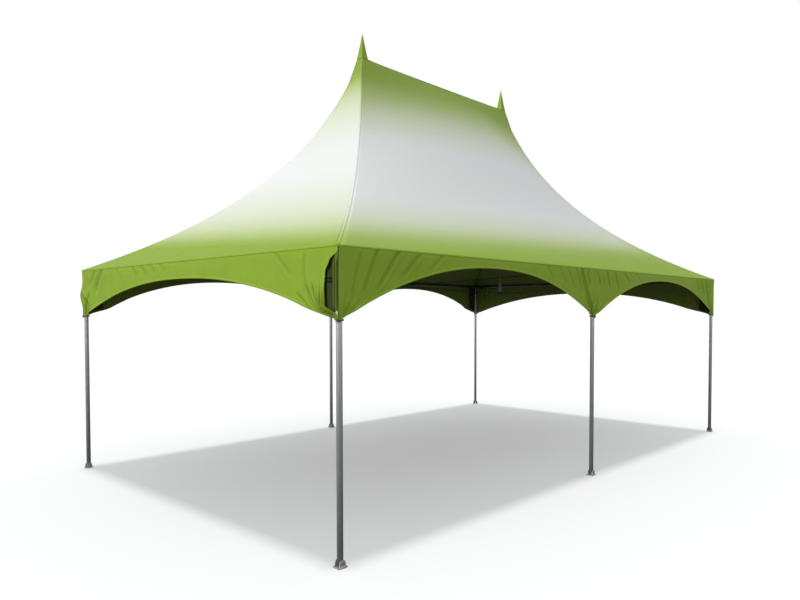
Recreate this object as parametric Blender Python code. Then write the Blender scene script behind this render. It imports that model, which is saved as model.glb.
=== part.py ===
"""Twin-peak frame marquee, 5 m by 8 m between leg centres.

Six tube legs on steel feet carry a ring of eave tubes. Two masts stand on wire cables
that are strung between the leg heads, and lift the roof skin to two points joined by a
ridge tube. Arched valances hang from the eaves. Metres, +Z up, origin on the ground in
the middle of the plan, X along the ridge, the front long side at -Y.
"""

import math

import bmesh
import bpy
from mathutils import Matrix, Vector

LENGTH = 8.0
WIDTH = 5.0
HALF_LENGTH = LENGTH / 2
HALF_WIDTH = WIDTH / 2
EAVE_HEIGHT = 2.538
RIDGE_HEIGHT = 5.277
TIP_HEIGHT = 5.578
VALANCE_TIP_HEIGHT = 1.935

# The hips run at 45 degrees in plan, so the peaks stand half a width in from the gables.
PEAK_X = HALF_LENGTH - HALF_WIDTH

TUBE_RADIUS = 0.0254
GAP = 0.0003
SEAT = 0.0006

ROOF_THICKNESS = 0.005
ROOF_OVERHANG = 0.036
ROOF_EDGE_HEIGHT = EAVE_HEIGHT - ROOF_THICKNESS
EAVE_TUBE_HEIGHT = ROOF_EDGE_HEIGHT - 0.0115
ROOF_RISE = RIDGE_HEIGHT - ROOF_THICKNESS - ROOF_EDGE_HEIGHT

# A hip hangs like a stretched funnel: its rise follows the logarithm of the distance to
# the mast, until the skin turns up steeply over the crown of the mast.
FUNNEL_SOFTNESS = 0.15
FUNNEL_RISE = 0.5035
CROWN_HALF_WIDTH = 0.126
CROWN_TOP_HALF_WIDTH = 0.046
MID_PANEL_SAG = 0.12
GABLE_BULGE = 0.08

RIDGE_STRIP = 0.027
RIDGE_STRIP_DROP = 0.011
RIDGE_TUBE_DROP = 0.0282

VALANCE_THICKNESS = 0.003
VALANCE_OFFSET = TUBE_RADIUS + SEAT
VALANCE_TOP = EAVE_TUBE_HEIGHT + 0.0142
GABLE_ARCH_DEPTH = 0.19
SIDE_ARCH_DEPTH = 0.10
ARCH_POWER = 2.15
CORNER_SLIT = 0.075

HEAD_ARM = 0.15
LUG_RADIUS = 0.011
LUG_LENGTH = 0.075
CABLE_RADIUS = 0.005
HUB_HEIGHT = 2.30
HUB_RADIUS = 0.06
HUB_THICKNESS = 0.05

# The mast carries a cone at its head, with a short post that the skin is drawn round.
MAST_CROWN_HEIGHT = 0.36
MAST_CROWN_FOOT_RADIUS = 0.085
MAST_CROWN_TOP_RADIUS = 0.036
MAST_CROWN_DROP = 0.012
MAST_POST_RADIUS = 0.028
SPIRE_LIFT = 0.001

PLATE_SIZE = 0.09
PLATE_THICKNESS = 0.008
PLATE_CORNER = 0.010
CHEEK_THICKNESS = 0.006
CHEEK_HEIGHT = 0.060
CHEEK_FOOT = 0.072
CHEEK_TOP = 0.050
LEG_FOOT_HEIGHT = 0.020
BOLT_HEIGHT = 0.040
BOLT_RADIUS = 0.011
BOLT_STUB = 0.012

LEGS = {
    "front_left": (-HALF_LENGTH, -HALF_WIDTH),
    "back_left": (-HALF_LENGTH, HALF_WIDTH),
    "front_middle": (0.0, -HALF_WIDTH),
    "back_middle": (0.0, HALF_WIDTH),
    "front_right": (HALF_LENGTH, -HALF_WIDTH),
    "back_right": (HALF_LENGTH, HALF_WIDTH),
}


def clear_scene():
    """Start from an empty file and return the collections for the tent and its cutters."""
    for old in list(bpy.data.objects):
        bpy.data.objects.remove(old, do_unlink=True)
    tent = bpy.data.collections.new("marquee_tent")
    cutters = bpy.data.collections.new("cutters")
    bpy.context.scene.collection.children.link(tent)
    bpy.context.scene.collection.children.link(cutters)
    return tent, cutters


def surface(name, colour, roughness, metallic=0.0):
    """A plain finish for one kind of piece."""
    material = bpy.data.materials.new(name)
    material.use_nodes = True
    shader = material.node_tree.nodes["Principled BSDF"]
    shader.inputs["Base Color"].default_value = (*colour, 1.0)
    shader.inputs["Roughness"].default_value = roughness
    shader.inputs["Metallic"].default_value = metallic
    return material


def add_object(name, bm, material, smooth=False):
    """Turn a bmesh into a named object of the tent."""
    bmesh.ops.recalc_face_normals(bm, faces=bm.faces)
    mesh = bpy.data.meshes.new(name)
    bm.to_mesh(mesh)
    bm.free()
    if smooth:
        mesh.shade_smooth()
        mesh.set_sharp_from_angle(angle=math.radians(40))
    mesh.materials.append(material)
    made = bpy.data.objects.new(name, mesh)
    TENT.objects.link(made)
    return made


def add_cutter(name, bm):
    """A helper solid that shapes another piece and isn't part of the tent."""
    bmesh.ops.recalc_face_normals(bm, faces=bm.faces)
    mesh = bpy.data.meshes.new(name)
    bm.to_mesh(mesh)
    bm.free()
    made = bpy.data.objects.new(name, mesh)
    made.hide_render = True
    made.display_type = "WIRE"
    CUTTERS.objects.link(made)
    return made


def rod(start, end, radius, sides=16):
    """A straight round bar between two points."""
    start = Vector(start)
    end = Vector(end)
    run = end - start
    turn = run.to_track_quat("Z", "Y").to_matrix().to_4x4()
    bm = bmesh.new()
    bmesh.ops.create_cone(bm, cap_ends=True, segments=sides, radius1=radius, radius2=radius,
                          depth=run.length, matrix=Matrix.Translation((start + end) / 2) @ turn)
    return bm


def block(centre, size):
    """A rectangular bar or plate."""
    bm = bmesh.new()
    bmesh.ops.create_cube(bm, size=1.0,
                          matrix=Matrix.Translation(centre) @ Matrix.Diagonal((*size, 1.0)))
    return bm


def boolean(target, other, operation):
    """Join a second solid to a piece, or cut it away."""
    modifier = target.modifiers.new(other.name, "BOOLEAN")
    modifier.operation = operation
    modifier.solver = "EXACT"
    modifier.object = other


def make_feet(steel):
    """Square base plate with two tapering cheeks that hold the leg and a bolt through them."""
    for name, (x, y) in LEGS.items():
        plate = block((x, y, PLATE_THICKNESS / 2), (PLATE_SIZE, PLATE_SIZE, PLATE_THICKNESS))
        corners = [edge for edge in plate.edges
                   if abs(edge.verts[0].co.z - edge.verts[1].co.z) > PLATE_THICKNESS / 2]
        bmesh.ops.bevel(plate, geom=corners, offset=PLATE_CORNER, segments=1, profile=0.5,
                        affect="EDGES", material=-1)
        foot = add_object("foot_" + name, plate, steel)
        for side in (-1, 1):
            inner = TUBE_RADIUS + SEAT
            cheek = block((x, y + side * (inner + CHEEK_THICKNESS / 2), CHEEK_HEIGHT / 2 + 0.001),
                          (CHEEK_FOOT, CHEEK_THICKNESS, CHEEK_HEIGHT - 0.002))
            for vert in cheek.verts:
                if vert.co.z > CHEEK_HEIGHT / 2:
                    vert.co.x = x + (vert.co.x - x) * CHEEK_TOP / CHEEK_FOOT
            label = f"{name}_{'front' if side < 0 else 'back'}"
            boolean(foot, add_cutter("cheek_" + label, cheek), "UNION")
            bolt = rod((x, y + side * (inner + 0.001), BOLT_HEIGHT),
                       (x, y + side * (inner + CHEEK_THICKNESS + BOLT_STUB), BOLT_HEIGHT),
                       BOLT_RADIUS, 6)
            boolean(foot, add_cutter("bolt_" + label, bolt), "UNION")


def make_legs(aluminium):
    """Plain round tube, bolted between the cheeks of its foot, up to the leg head."""
    for name, (x, y) in LEGS.items():
        top = EAVE_TUBE_HEIGHT - HEAD_ARM - GAP
        add_object("leg_" + name, rod((x, y, LEG_FOOT_HEIGHT), (x, y, top), TUBE_RADIUS),
                   aluminium, smooth=True)


def lug_ends(x, y, peak_x):
    """Where the cable lug of a leg head starts and ends, on the line to a mast foot."""
    head = Vector((x, y, EAVE_TUBE_HEIGHT))
    aim = (Vector((peak_x, 0.0, HUB_HEIGHT)) - head).normalized()
    return head, head + aim * LUG_LENGTH


def make_heads(aluminium):
    """Welded elbow or tee that joins the eave tubes to a leg, with lugs for the cables."""
    for name, (x, y) in LEGS.items():
        centre = Vector((x, y, EAVE_TUBE_HEIGHT))
        inward = -math.copysign(1.0, y)
        if x:
            first = centre + Vector((-math.copysign(HEAD_ARM, x), 0.0, 0.0))
            last = centre + Vector((0.0, inward * HEAD_ARM, 0.0))
            peaks = (math.copysign(PEAK_X, x),)
        else:
            first = centre + Vector((-HEAD_ARM, 0.0, 0.0))
            last = centre + Vector((HEAD_ARM, 0.0, 0.0))
            peaks = (-PEAK_X, PEAK_X)
        head = add_object("head_" + name, elbow(first, centre, last), aluminium, smooth=True)
        drop = rod(centre, centre - Vector((0.0, 0.0, HEAD_ARM)), TUBE_RADIUS)
        boolean(head, add_cutter("drop_" + name, drop), "UNION")
        for peak in peaks:
            lug = rod(*lug_ends(x, y, peak), LUG_RADIUS, 8)
            boolean(head, add_cutter(f"lug_{name}_{'left' if peak < 0 else 'right'}", lug), "UNION")


def elbow(first, corner, last):
    """A round tube that turns a mitred corner."""
    spine = bpy.data.curves.new("elbow", "CURVE")
    spine.dimensions = "3D"
    spine.bevel_depth = TUBE_RADIUS
    spine.bevel_resolution = 2
    spine.use_fill_caps = True
    line = spine.splines.new("POLY")
    line.points.add(2)
    for point, place in zip(line.points, (first, corner, last)):
        point.co = (*place, 1.0)
    guide = bpy.data.objects.new("elbow", spine)
    CUTTERS.objects.link(guide)
    bpy.context.view_layer.update()
    evaluated = guide.evaluated_get(bpy.context.evaluated_depsgraph_get())
    mesh = bpy.data.meshes.new_from_object(evaluated)
    bm = bmesh.new()
    bm.from_mesh(mesh)
    bmesh.ops.remove_doubles(bm, verts=bm.verts, dist=0.00001)
    bpy.data.objects.remove(guide, do_unlink=True)
    bpy.data.curves.remove(spine)
    bpy.data.meshes.remove(mesh)
    return bm


def make_eave_tubes(aluminium):
    """One tube for each bay, butted between the leg heads."""
    reach = HEAD_ARM + GAP
    for side, y in (("front", -HALF_WIDTH), ("back", HALF_WIDTH)):
        for end, start, stop in (("left", -HALF_LENGTH, 0.0), ("right", 0.0, HALF_LENGTH)):
            add_object(f"eave_tube_{side}_{end}",
                       rod((start + reach, y, EAVE_TUBE_HEIGHT),
                           (stop - reach, y, EAVE_TUBE_HEIGHT), TUBE_RADIUS), aluminium, smooth=True)
    for end, x in (("left", -HALF_LENGTH), ("right", HALF_LENGTH)):
        add_object(f"eave_tube_gable_{end}",
                   rod((x, -HALF_WIDTH + reach, EAVE_TUBE_HEIGHT),
                       (x, HALF_WIDTH - reach, EAVE_TUBE_HEIGHT), TUBE_RADIUS),
                   aluminium, smooth=True)


def make_mast_cables(steel):
    """Four wire cables from the leg heads to the steel hub that a mast stands on."""
    for end, peak in (("left", -PEAK_X), ("right", PEAK_X)):
        hub_centre = Vector((peak, 0.0, HUB_HEIGHT))
        half = Vector((0.0, 0.0, HUB_THICKNESS / 2))
        hub = add_object("mast_cables_" + end,
                         rod(hub_centre - half, hub_centre + half, HUB_RADIUS, 16), steel)
        for name, (x, y) in LEGS.items():
            if x and math.copysign(1.0, x) != math.copysign(1.0, peak):
                continue
            lug_tip = lug_ends(x, y, peak)[1]
            aim = (hub_centre - lug_tip).normalized()
            cable = rod(lug_tip + aim * SEAT, hub_centre - aim * (HUB_RADIUS - 0.02),
                        CABLE_RADIUS, 8)
            boolean(hub, add_cutter(f"cable_{end}_{name}", cable), "UNION")


def make_masts(aluminium):
    """Mast tube on its hub, with the conical crown that the skin is drawn over."""
    foot = HUB_HEIGHT + HUB_THICKNESS / 2 + GAP
    crown_foot = RIDGE_HEIGHT - MAST_CROWN_HEIGHT
    crown_top = RIDGE_HEIGHT - ROOF_THICKNESS - MAST_CROWN_DROP
    lap = 0.02
    for end, peak in (("left", -PEAK_X), ("right", PEAK_X)):
        mast = add_object("mast_" + end,
                          rod((peak, 0.0, foot), (peak, 0.0, crown_foot + lap), TUBE_RADIUS),
                          aluminium, smooth=True)
        crown = bmesh.new()
        bmesh.ops.create_cone(crown, cap_ends=True, segments=12, radius1=MAST_CROWN_FOOT_RADIUS,
                              radius2=MAST_CROWN_TOP_RADIUS, depth=crown_top - crown_foot,
                              matrix=Matrix.Translation((peak, 0.0, (crown_foot + crown_top) / 2)))
        boolean(mast, add_cutter("crown_" + end, crown), "UNION")
        post = rod((peak, 0.0, crown_top - lap), (peak, 0.0, RIDGE_HEIGHT + GAP),
                   MAST_POST_RADIUS, 12)
        boolean(mast, add_cutter("post_" + end, post), "UNION")


def make_ridge_tube(aluminium):
    """Tube under the ridge of the skin, butted between the two crowns."""
    z = RIDGE_HEIGHT - ROOF_THICKNESS - RIDGE_TUBE_DROP
    taper = MAST_CROWN_FOOT_RADIUS - MAST_CROWN_TOP_RADIUS
    crown_slope = taper / (MAST_CROWN_HEIGHT - ROOF_THICKNESS - MAST_CROWN_DROP)
    tube_bottom = RIDGE_TUBE_DROP + TUBE_RADIUS - MAST_CROWN_DROP
    reach = PEAK_X - MAST_CROWN_TOP_RADIUS - crown_slope * tube_bottom - SEAT
    add_object("ridge_tube", rod((-reach, 0.0, z), (reach, 0.0, z), TUBE_RADIUS),
               aluminium, smooth=True)


def make_spires(fabric):
    """Slender four-sided fabric cap, a little flared at its foot, over each mast head."""
    foot = RIDGE_HEIGHT + SPIRE_LIFT
    sections = ((0.0, 0.049), (0.055, 0.038), (0.115, 0.029), (0.205, 0.015),
                (TIP_HEIGHT - foot, 0.003))
    for end, peak in (("left", -PEAK_X), ("right", PEAK_X)):
        bm = bmesh.new()
        bmesh.ops.create_grid(bm, x_segments=1, y_segments=1, size=sections[0][1],
                              matrix=Matrix.Translation((peak, 0.0, foot)))
        top = list(bm.faces)
        for level, (height, half) in enumerate(sections[1:]):
            made = bmesh.ops.extrude_face_region(bm, geom=top)["geom"]
            if level:
                bmesh.ops.delete(bm, geom=top, context="FACES_ONLY")
            top = [item for item in made if isinstance(item, bmesh.types.BMFace)]
            for vert in top[0].verts:
                vert.co.x = peak + math.copysign(half, vert.co.x - peak)
                vert.co.y = math.copysign(half, vert.co.y)
                vert.co.z = foot + height
        add_object("spire_" + end, bm, fabric)


def hip_rise(closeness):
    """Height fraction of a hip at a plan fraction of 1 at the eave and 0 at the mast."""
    crown = CROWN_HALF_WIDTH / (HALF_WIDTH + ROOF_OVERHANG)
    top = CROWN_TOP_HALF_WIDTH / (HALF_WIDTH + ROOF_OVERHANG)
    span = 1.0 + FUNNEL_SOFTNESS
    if closeness >= crown:
        return FUNNEL_RISE * math.log(span / (closeness + FUNNEL_SOFTNESS))
    at_crown = FUNNEL_RISE * math.log(span / (crown + FUNNEL_SOFTNESS))
    share = min(1.0, (crown - closeness) / (crown - top))
    return at_crown + (1.0 - at_crown) * share


def roof_height(inset, across, gable):
    """Height of the skin's inner face, inset from the eave and across from mid panel to hip."""
    closeness = (HALF_WIDTH - inset) / (HALF_WIDTH + ROOF_OVERHANG)
    hip = hip_rise(closeness)
    chord = 1.0 - closeness
    if gable:
        middle = hip + GABLE_BULGE * (chord - hip)
    else:
        middle = chord - 4 * MID_PANEL_SAG * closeness * chord
    return ROOF_EDGE_HEIGHT + ROOF_RISE * (hip + (middle - hip) * (1.0 - across * across))


def roof_rows(gable):
    """Insets of the rows of a roof panel, from the eave edge up to the crown or the ridge."""
    first = 0.09
    last = HALF_WIDTH - 2.2 * CROWN_HALF_WIDTH
    count = 11
    rows = [-ROOF_OVERHANG]
    rows += [first + (last - first) * step / (count - 1) for step in range(count)]
    rows += [HALF_WIDTH - 1.5 * CROWN_HALF_WIDTH, HALF_WIDTH - CROWN_HALF_WIDTH]
    if gable:
        return rows + [HALF_WIDTH - CROWN_TOP_HALF_WIDTH - SEAT]
    return rows + [HALF_WIDTH - 1.2 * CROWN_TOP_HALF_WIDTH, HALF_WIDTH - RIDGE_STRIP,
                   HALF_WIDTH - GAP]


def roof_panel(name, side, gable, columns, fabric):
    """One sewn panel of the skin, between the eave, two hips and the ridge or a crown."""
    rows = roof_rows(gable)
    bm = bmesh.new()
    bmesh.ops.create_grid(bm, x_segments=columns, y_segments=len(rows) - 1, size=1.0)
    half_eave = HALF_WIDTH if gable else HALF_LENGTH
    for vert in bm.verts:
        inset = rows[round((vert.co.y + 1.0) / 2 * (len(rows) - 1))]
        across = vert.co.x
        height = roof_height(inset, across, gable)
        if inset > HALF_WIDTH - RIDGE_STRIP - SEAT:
            strip = (HALF_WIDTH - inset) / RIDGE_STRIP
            height = ROOF_EDGE_HEIGHT + ROOF_RISE - RIDGE_STRIP_DROP * strip
        along = across * (half_eave - inset - GAP)
        out = side * ((HALF_LENGTH if gable else HALF_WIDTH) - inset)
        vert.co = (out, along, height) if gable else (along, out, height)
    lifted = bmesh.ops.extrude_face_region(bm, geom=list(bm.faces))["geom"]
    bmesh.ops.translate(bm, vec=(0.0, 0.0, ROOF_THICKNESS),
                        verts=[item for item in lifted if isinstance(item, bmesh.types.BMVert)])
    bmesh.ops.triangulate(bm, faces=list(bm.faces))
    return add_object(name, bm, fabric, smooth=True)


def make_roof(fabric):
    """Four panels with the same hip line; the long ones are notched round the mast heads."""
    cutters = []
    for end, peak in (("left", -PEAK_X), ("right", PEAK_X)):
        half = 2 * (CROWN_TOP_HALF_WIDTH + SEAT)
        cutters.append(add_cutter("crown_notch_" + end,
                                  block((peak, 0.0, RIDGE_HEIGHT), (half, half, 1.0))))
    for name, side in (("roof_front", -1), ("roof_back", 1)):
        panel = roof_panel(name, side, False, 24, fabric)
        for cutter in cutters:
            boolean(panel, cutter, "DIFFERENCE")
    for name, side in (("roof_gable_left", -1), ("roof_gable_right", 1)):
        roof_panel(name, side, True, 12, fabric)


def valance(name, start, stop, gable_side, side, crown_depth, corners, fabric):
    """Flat band with an arched lower edge; at a tent corner its end bows in beside the leg."""
    columns, rows = 24, 3
    bm = bmesh.new()
    bmesh.ops.create_grid(bm, x_segments=columns, y_segments=rows, size=1.0)
    tip_depth = VALANCE_TOP - VALANCE_TIP_HEIGHT
    edge_depth = crown_depth - (EAVE_HEIGHT - VALANCE_TOP)
    for vert in bm.verts:
        place = vert.co.x
        down = (1.0 - vert.co.y) / 2
        depth = edge_depth + (tip_depth - edge_depth) * abs(place) ** ARCH_POWER
        along = (start + stop) / 2 + place * (stop - start) / 2
        slit = CORNER_SLIT * math.sin(math.pi * down ** 1.4) * abs(place) ** 12
        if (place < 0 and corners[0]) or (place > 0 and corners[1]):
            along -= math.copysign(slit, place)
        out = (HALF_LENGTH if gable_side else HALF_WIDTH) + VALANCE_OFFSET
        z = VALANCE_TOP - down * depth
        vert.co = (side * out, along, z) if gable_side else (along, side * out, z)
    thick = side * VALANCE_THICKNESS
    shift = (thick, 0.0, 0.0) if gable_side else (0.0, thick, 0.0)
    outer = bmesh.ops.extrude_face_region(bm, geom=list(bm.faces))["geom"]
    bmesh.ops.translate(bm, vec=shift,
                        verts=[item for item in outer if isinstance(item, bmesh.types.BMVert)])
    add_object(name, bm, fabric)


def make_valances(fabric):
    """Six bands, one for each bay; they meet at the middle legs and at the corners."""
    end_x = HALF_LENGTH + VALANCE_OFFSET - GAP
    end_y = HALF_WIDTH + VALANCE_OFFSET - GAP
    for label, side in (("front", -1), ("back", 1)):
        valance(f"valance_{label}_left", -end_x, -GAP, False, side, SIDE_ARCH_DEPTH,
                (True, False), fabric)
        valance(f"valance_{label}_right", GAP, end_x, False, side, SIDE_ARCH_DEPTH,
                (False, True), fabric)
    for label, side in (("left", -1), ("right", 1)):
        valance("valance_gable_" + label, -end_y, end_y, True, side, GABLE_ARCH_DEPTH,
                (True, True), fabric)


TENT, CUTTERS = clear_scene()
ALUMINIUM = surface("brushed_aluminium", (0.55, 0.56, 0.57), 0.38, 1.0)
STEEL = surface("galvanised_steel", (0.40, 0.41, 0.42), 0.5, 1.0)
FABRIC = surface("green_fabric", (0.28, 0.42, 0.06), 0.7)

make_feet(STEEL)
make_legs(ALUMINIUM)
make_heads(ALUMINIUM)
make_eave_tubes(ALUMINIUM)
make_mast_cables(STEEL)
make_masts(ALUMINIUM)
make_ridge_tube(ALUMINIUM)
make_spires(FABRIC)
make_roof(FABRIC)
make_valances(FABRIC)
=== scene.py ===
"""Looks of the twin-peak frame marquee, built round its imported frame.

The sections follow the tent as a crew puts it up: feet, legs, heads and eave tubes, the
cables and masts, the ridge, then the skin with its seams, the valances and the spires.
"""

import math

import bmesh
import bpy
from mathutils import Matrix, Vector, noise


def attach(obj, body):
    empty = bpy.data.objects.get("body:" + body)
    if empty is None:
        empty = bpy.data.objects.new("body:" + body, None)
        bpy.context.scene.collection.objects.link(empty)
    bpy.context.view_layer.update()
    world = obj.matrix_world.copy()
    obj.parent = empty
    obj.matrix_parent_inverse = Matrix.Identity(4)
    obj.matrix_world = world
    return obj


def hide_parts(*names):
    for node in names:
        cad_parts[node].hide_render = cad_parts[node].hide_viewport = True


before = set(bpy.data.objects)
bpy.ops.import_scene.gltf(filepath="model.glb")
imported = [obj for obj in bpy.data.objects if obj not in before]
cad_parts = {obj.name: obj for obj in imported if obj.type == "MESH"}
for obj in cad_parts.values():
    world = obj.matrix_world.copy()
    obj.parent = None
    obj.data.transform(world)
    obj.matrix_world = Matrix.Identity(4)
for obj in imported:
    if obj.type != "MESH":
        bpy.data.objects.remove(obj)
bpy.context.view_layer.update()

# The camera stands off the front left corner at head height. The light is a plain studio: a
# bright dome, a soft low key on the left gable, and a lamp overhead for the pale floor alone.
CAMERA_PLACE = (-7.385, -6.546, 2.03)
CAMERA_YAW = 0.736
CAMERA_PITCH = -0.031
CAMERA_LENS = 30.12
CAMERA_SHIFT = (-0.0402, 0.0385)
DOME_STRENGTH = 0.83
KEY_DIRECTION = (-0.874, 0.29, 0.388)
KEY_STRENGTH = 1.62
OVERHEAD_STRENGTH = 1.92
FLOOR_SIZE = 160.0
FLOOR_TONE = 0.50
FLOOR_GLOW = 0.345
FLOOR_BOUNCE = 0.11

camera_data = bpy.data.cameras.new("studio_camera")
camera_data.lens = CAMERA_LENS
camera_data.shift_x, camera_data.shift_y = CAMERA_SHIFT
camera = bpy.data.objects.new("studio_camera", camera_data)
camera.location = CAMERA_PLACE
camera.rotation_euler = (math.pi / 2 + CAMERA_PITCH, 0.0, CAMERA_YAW - math.pi / 2)
bpy.context.scene.collection.objects.link(camera)
bpy.context.scene.camera = camera
bpy.context.scene.view_settings.view_transform = "Standard"


def add_node(tree, kind, values=None, **settings):
    """Add a node, set it up, and fill or link its inputs."""
    made = tree.nodes.new(kind)
    for key, value in settings.items():
        setattr(made, key, value)
    for key, value in (values or {}).items():
        if isinstance(value, bpy.types.NodeSocket):
            tree.links.new(value, made.inputs[key])
        else:
            made.inputs[key].default_value = value
    return made


world = bpy.data.worlds.new("studio")
world.use_nodes = True
bpy.context.scene.world = world
sky_tree = world.node_tree
dome = sky_tree.nodes["Background"]
dome.inputs["Color"].default_value = (0.96, 0.98, 1.0, 1.0)
dome.inputs["Strength"].default_value = DOME_STRENGTH
backdrop = add_node(sky_tree, "ShaderNodeBackground", {"Color": (1.0, 1.0, 1.0, 1.0), "Strength": 1.0})
seen_direct = add_node(sky_tree, "ShaderNodeLightPath")
sky_mix = add_node(sky_tree, "ShaderNodeMixShader", {0: seen_direct.outputs["Is Camera Ray"],
                                                      1: dome.outputs[0], 2: backdrop.outputs[0]})
sky_tree.links.new(sky_mix.outputs[0], sky_tree.nodes["World Output"].inputs["Surface"])

floor_material = bpy.data.materials.new("studio_floor")
floor_material.use_nodes = True
floor_tree = floor_material.node_tree
floor_tree.nodes.remove(floor_tree.nodes["Principled BSDF"])
bounce = add_node(floor_tree, "ShaderNodeBsdfDiffuse", {"Color": (FLOOR_BOUNCE,) * 3 + (1.0,)})
shown = add_node(floor_tree, "ShaderNodeBsdfDiffuse", {"Color": (FLOOR_TONE,) * 3 + (1.0,)})
glow = add_node(floor_tree, "ShaderNodeEmission", {"Color": (1.0, 1.0, 1.0, 1.0), "Strength": FLOOR_GLOW})
pale = add_node(floor_tree, "ShaderNodeAddShader", {0: shown.outputs[0], 1: glow.outputs[0]})
seen_floor = add_node(floor_tree, "ShaderNodeLightPath")
floor_mix = add_node(floor_tree, "ShaderNodeMixShader", {0: seen_floor.outputs["Is Camera Ray"],
                                                          1: bounce.outputs[0], 2: pale.outputs[0]})
floor_tree.links.new(floor_mix.outputs[0], floor_tree.nodes["Material Output"].inputs["Surface"])
floor_bm = bmesh.new()
bmesh.ops.create_grid(floor_bm, x_segments=1, y_segments=1, size=FLOOR_SIZE / 2,
                      matrix=Matrix.Translation((0.0, 0.0, -0.001)))
floor_mesh = bpy.data.meshes.new("studio_floor")
floor_bm.to_mesh(floor_mesh)
floor_bm.free()
floor_mesh.materials.append(floor_material)
floor = bpy.data.objects.new("studio_floor", floor_mesh)
bpy.context.scene.collection.objects.link(floor)


def add_sun(name, direction, strength, spread, floor_state):
    """A soft distant lamp that lights the floor alone, or all but the floor."""
    lamp_data = bpy.data.lights.new(name, "SUN")
    lamp_data.energy = strength
    lamp_data.angle = math.radians(spread)
    lamp = bpy.data.objects.new(name, lamp_data)
    lamp.rotation_euler = Vector(direction).to_track_quat("Z", "Y").to_euler()
    bpy.context.scene.collection.objects.link(lamp)
    receivers = bpy.data.collections.new(name + "_receivers")
    receivers.objects.link(floor)
    receivers.collection_objects[0].light_linking.link_state = floor_state
    lamp.light_linking.receiver_collection = receivers
    return lamp


key_light = add_sun("key_light", KEY_DIRECTION, KEY_STRENGTH, 22, "EXCLUDE")
key_light.data.color = (1.0, 0.99, 0.95)
add_sun("overhead_light", (0.0, 0.0, 1.0), OVERHEAD_STRENGTH, 7, "INCLUDE")


def new_material(name, colour, roughness, metallic=0.0):
    """A Principled material and its node tree."""
    material = bpy.data.materials.new(name)
    material.use_nodes = True
    shader = material.node_tree.nodes["Principled BSDF"]
    shader.inputs["Base Color"].default_value = (*colour, 1.0)
    shader.inputs["Roughness"].default_value = roughness
    shader.inputs["Metallic"].default_value = metallic
    return material, material.node_tree, shader


# Feet: a galvanised steel plate with clipped corners and stake holes, two cheeks welded on
# it, and a hex bolt through both cheeks and the leg. Sawn from bar, welded, then dipped.
LENGTH = 8.0
WIDTH = 5.0
HALF_LENGTH = LENGTH / 2
HALF_WIDTH = WIDTH / 2
TUBE_RADIUS = 0.0254
SEAT = 0.0006
GAP = 0.0003
PLATE_HALF = 0.045
PLATE_THICKNESS = 0.008
PLATE_CORNER = 0.010
STAKE_HOLE_RADIUS = 0.0065
STAKE_HOLE_INSET = 0.011
CHEEK_THICKNESS = 0.006
CHEEK_HEIGHT = 0.060
CHEEK_FOOT = 0.072
CHEEK_TOP = 0.050
BOLT_HEIGHT = 0.040
BOLT_SHANK_RADIUS = 0.006
BOLT_HEAD_RADIUS = 0.011
WELD_RADIUS = 0.0035
LEGS = {
    "front_left": (-HALF_LENGTH, -HALF_WIDTH),
    "back_left": (-HALF_LENGTH, HALF_WIDTH),
    "front_middle": (0.0, -HALF_WIDTH),
    "back_middle": (0.0, HALF_WIDTH),
    "front_right": (HALF_LENGTH, -HALF_WIDTH),
    "back_right": (HALF_LENGTH, HALF_WIDTH),
}


def paint(red, green, blue):
    """A colour read as 0 to 255, as the light values that a shader takes."""
    return tuple(((c / 255 + 0.055) / 1.055) ** 2.4 if c > 10 else c / 3294.6 for c in (red, green, blue))


def steel_finish(name, dark, light, metallic=0.85):
    """Hot-dipped zinc: a crystal spangle with duller patches and scuffs."""
    material, tree, shader = new_material(name, dark, 0.5, metallic)
    place = add_node(tree, "ShaderNodeTexCoord")
    spangle = add_node(tree, "ShaderNodeTexVoronoi", {"Vector": place.outputs["Object"], "Scale": 190.0})
    patches = add_node(tree, "ShaderNodeTexNoise", {"Vector": place.outputs["Object"], "Scale": 28.0,
                                                    "Detail": 5.0, "Roughness": 0.65})
    blend = add_node(tree, "ShaderNodeMath", {0: spangle.outputs["Color"], 1: patches.outputs["Fac"]},
                     operation="MULTIPLY")
    tones = add_node(tree, "ShaderNodeValToRGB", {"Fac": blend.outputs[0]})
    tones.color_ramp.elements[0].position = 0.12
    tones.color_ramp.elements[0].color = (*dark, 1.0)
    tones.color_ramp.elements[1].position = 0.5
    tones.color_ramp.elements[1].color = (*light, 1.0)
    tree.links.new(tones.outputs["Color"], shader.inputs["Base Color"])
    dull_and_shade = add_node(tree, "ShaderNodeMapRange", {"Value": patches.outputs["Fac"], "From Min": 0.3,
                                                 "From Max": 0.7, "To Min": 0.38, "To Max": 0.62})
    tree.links.new(dull_and_shade.outputs[0], shader.inputs["Roughness"])
    bump = add_node(tree, "ShaderNodeBump", {"Height": patches.outputs["Fac"], "Strength": 0.25,
                                             "Distance": 0.001})
    tree.links.new(bump.outputs[0], shader.inputs["Normal"])
    return material


def add_piece(name, bm, materials, nodes=(), smooth=40):
    """Make a piece of the tent from a bmesh, riding on the frame."""
    mesh = bpy.data.meshes.new(name)
    bm.to_mesh(mesh)
    bm.free()
    if smooth:
        mesh.shade_smooth()
        mesh.set_sharp_from_angle(angle=math.radians(smooth))
    for material in materials:
        mesh.materials.append(material)
    made = bpy.data.objects.new(name, mesh)
    bpy.context.scene.collection.objects.link(made)
    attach(made, "root")
    if nodes:
        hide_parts(*nodes)
    return made


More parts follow.
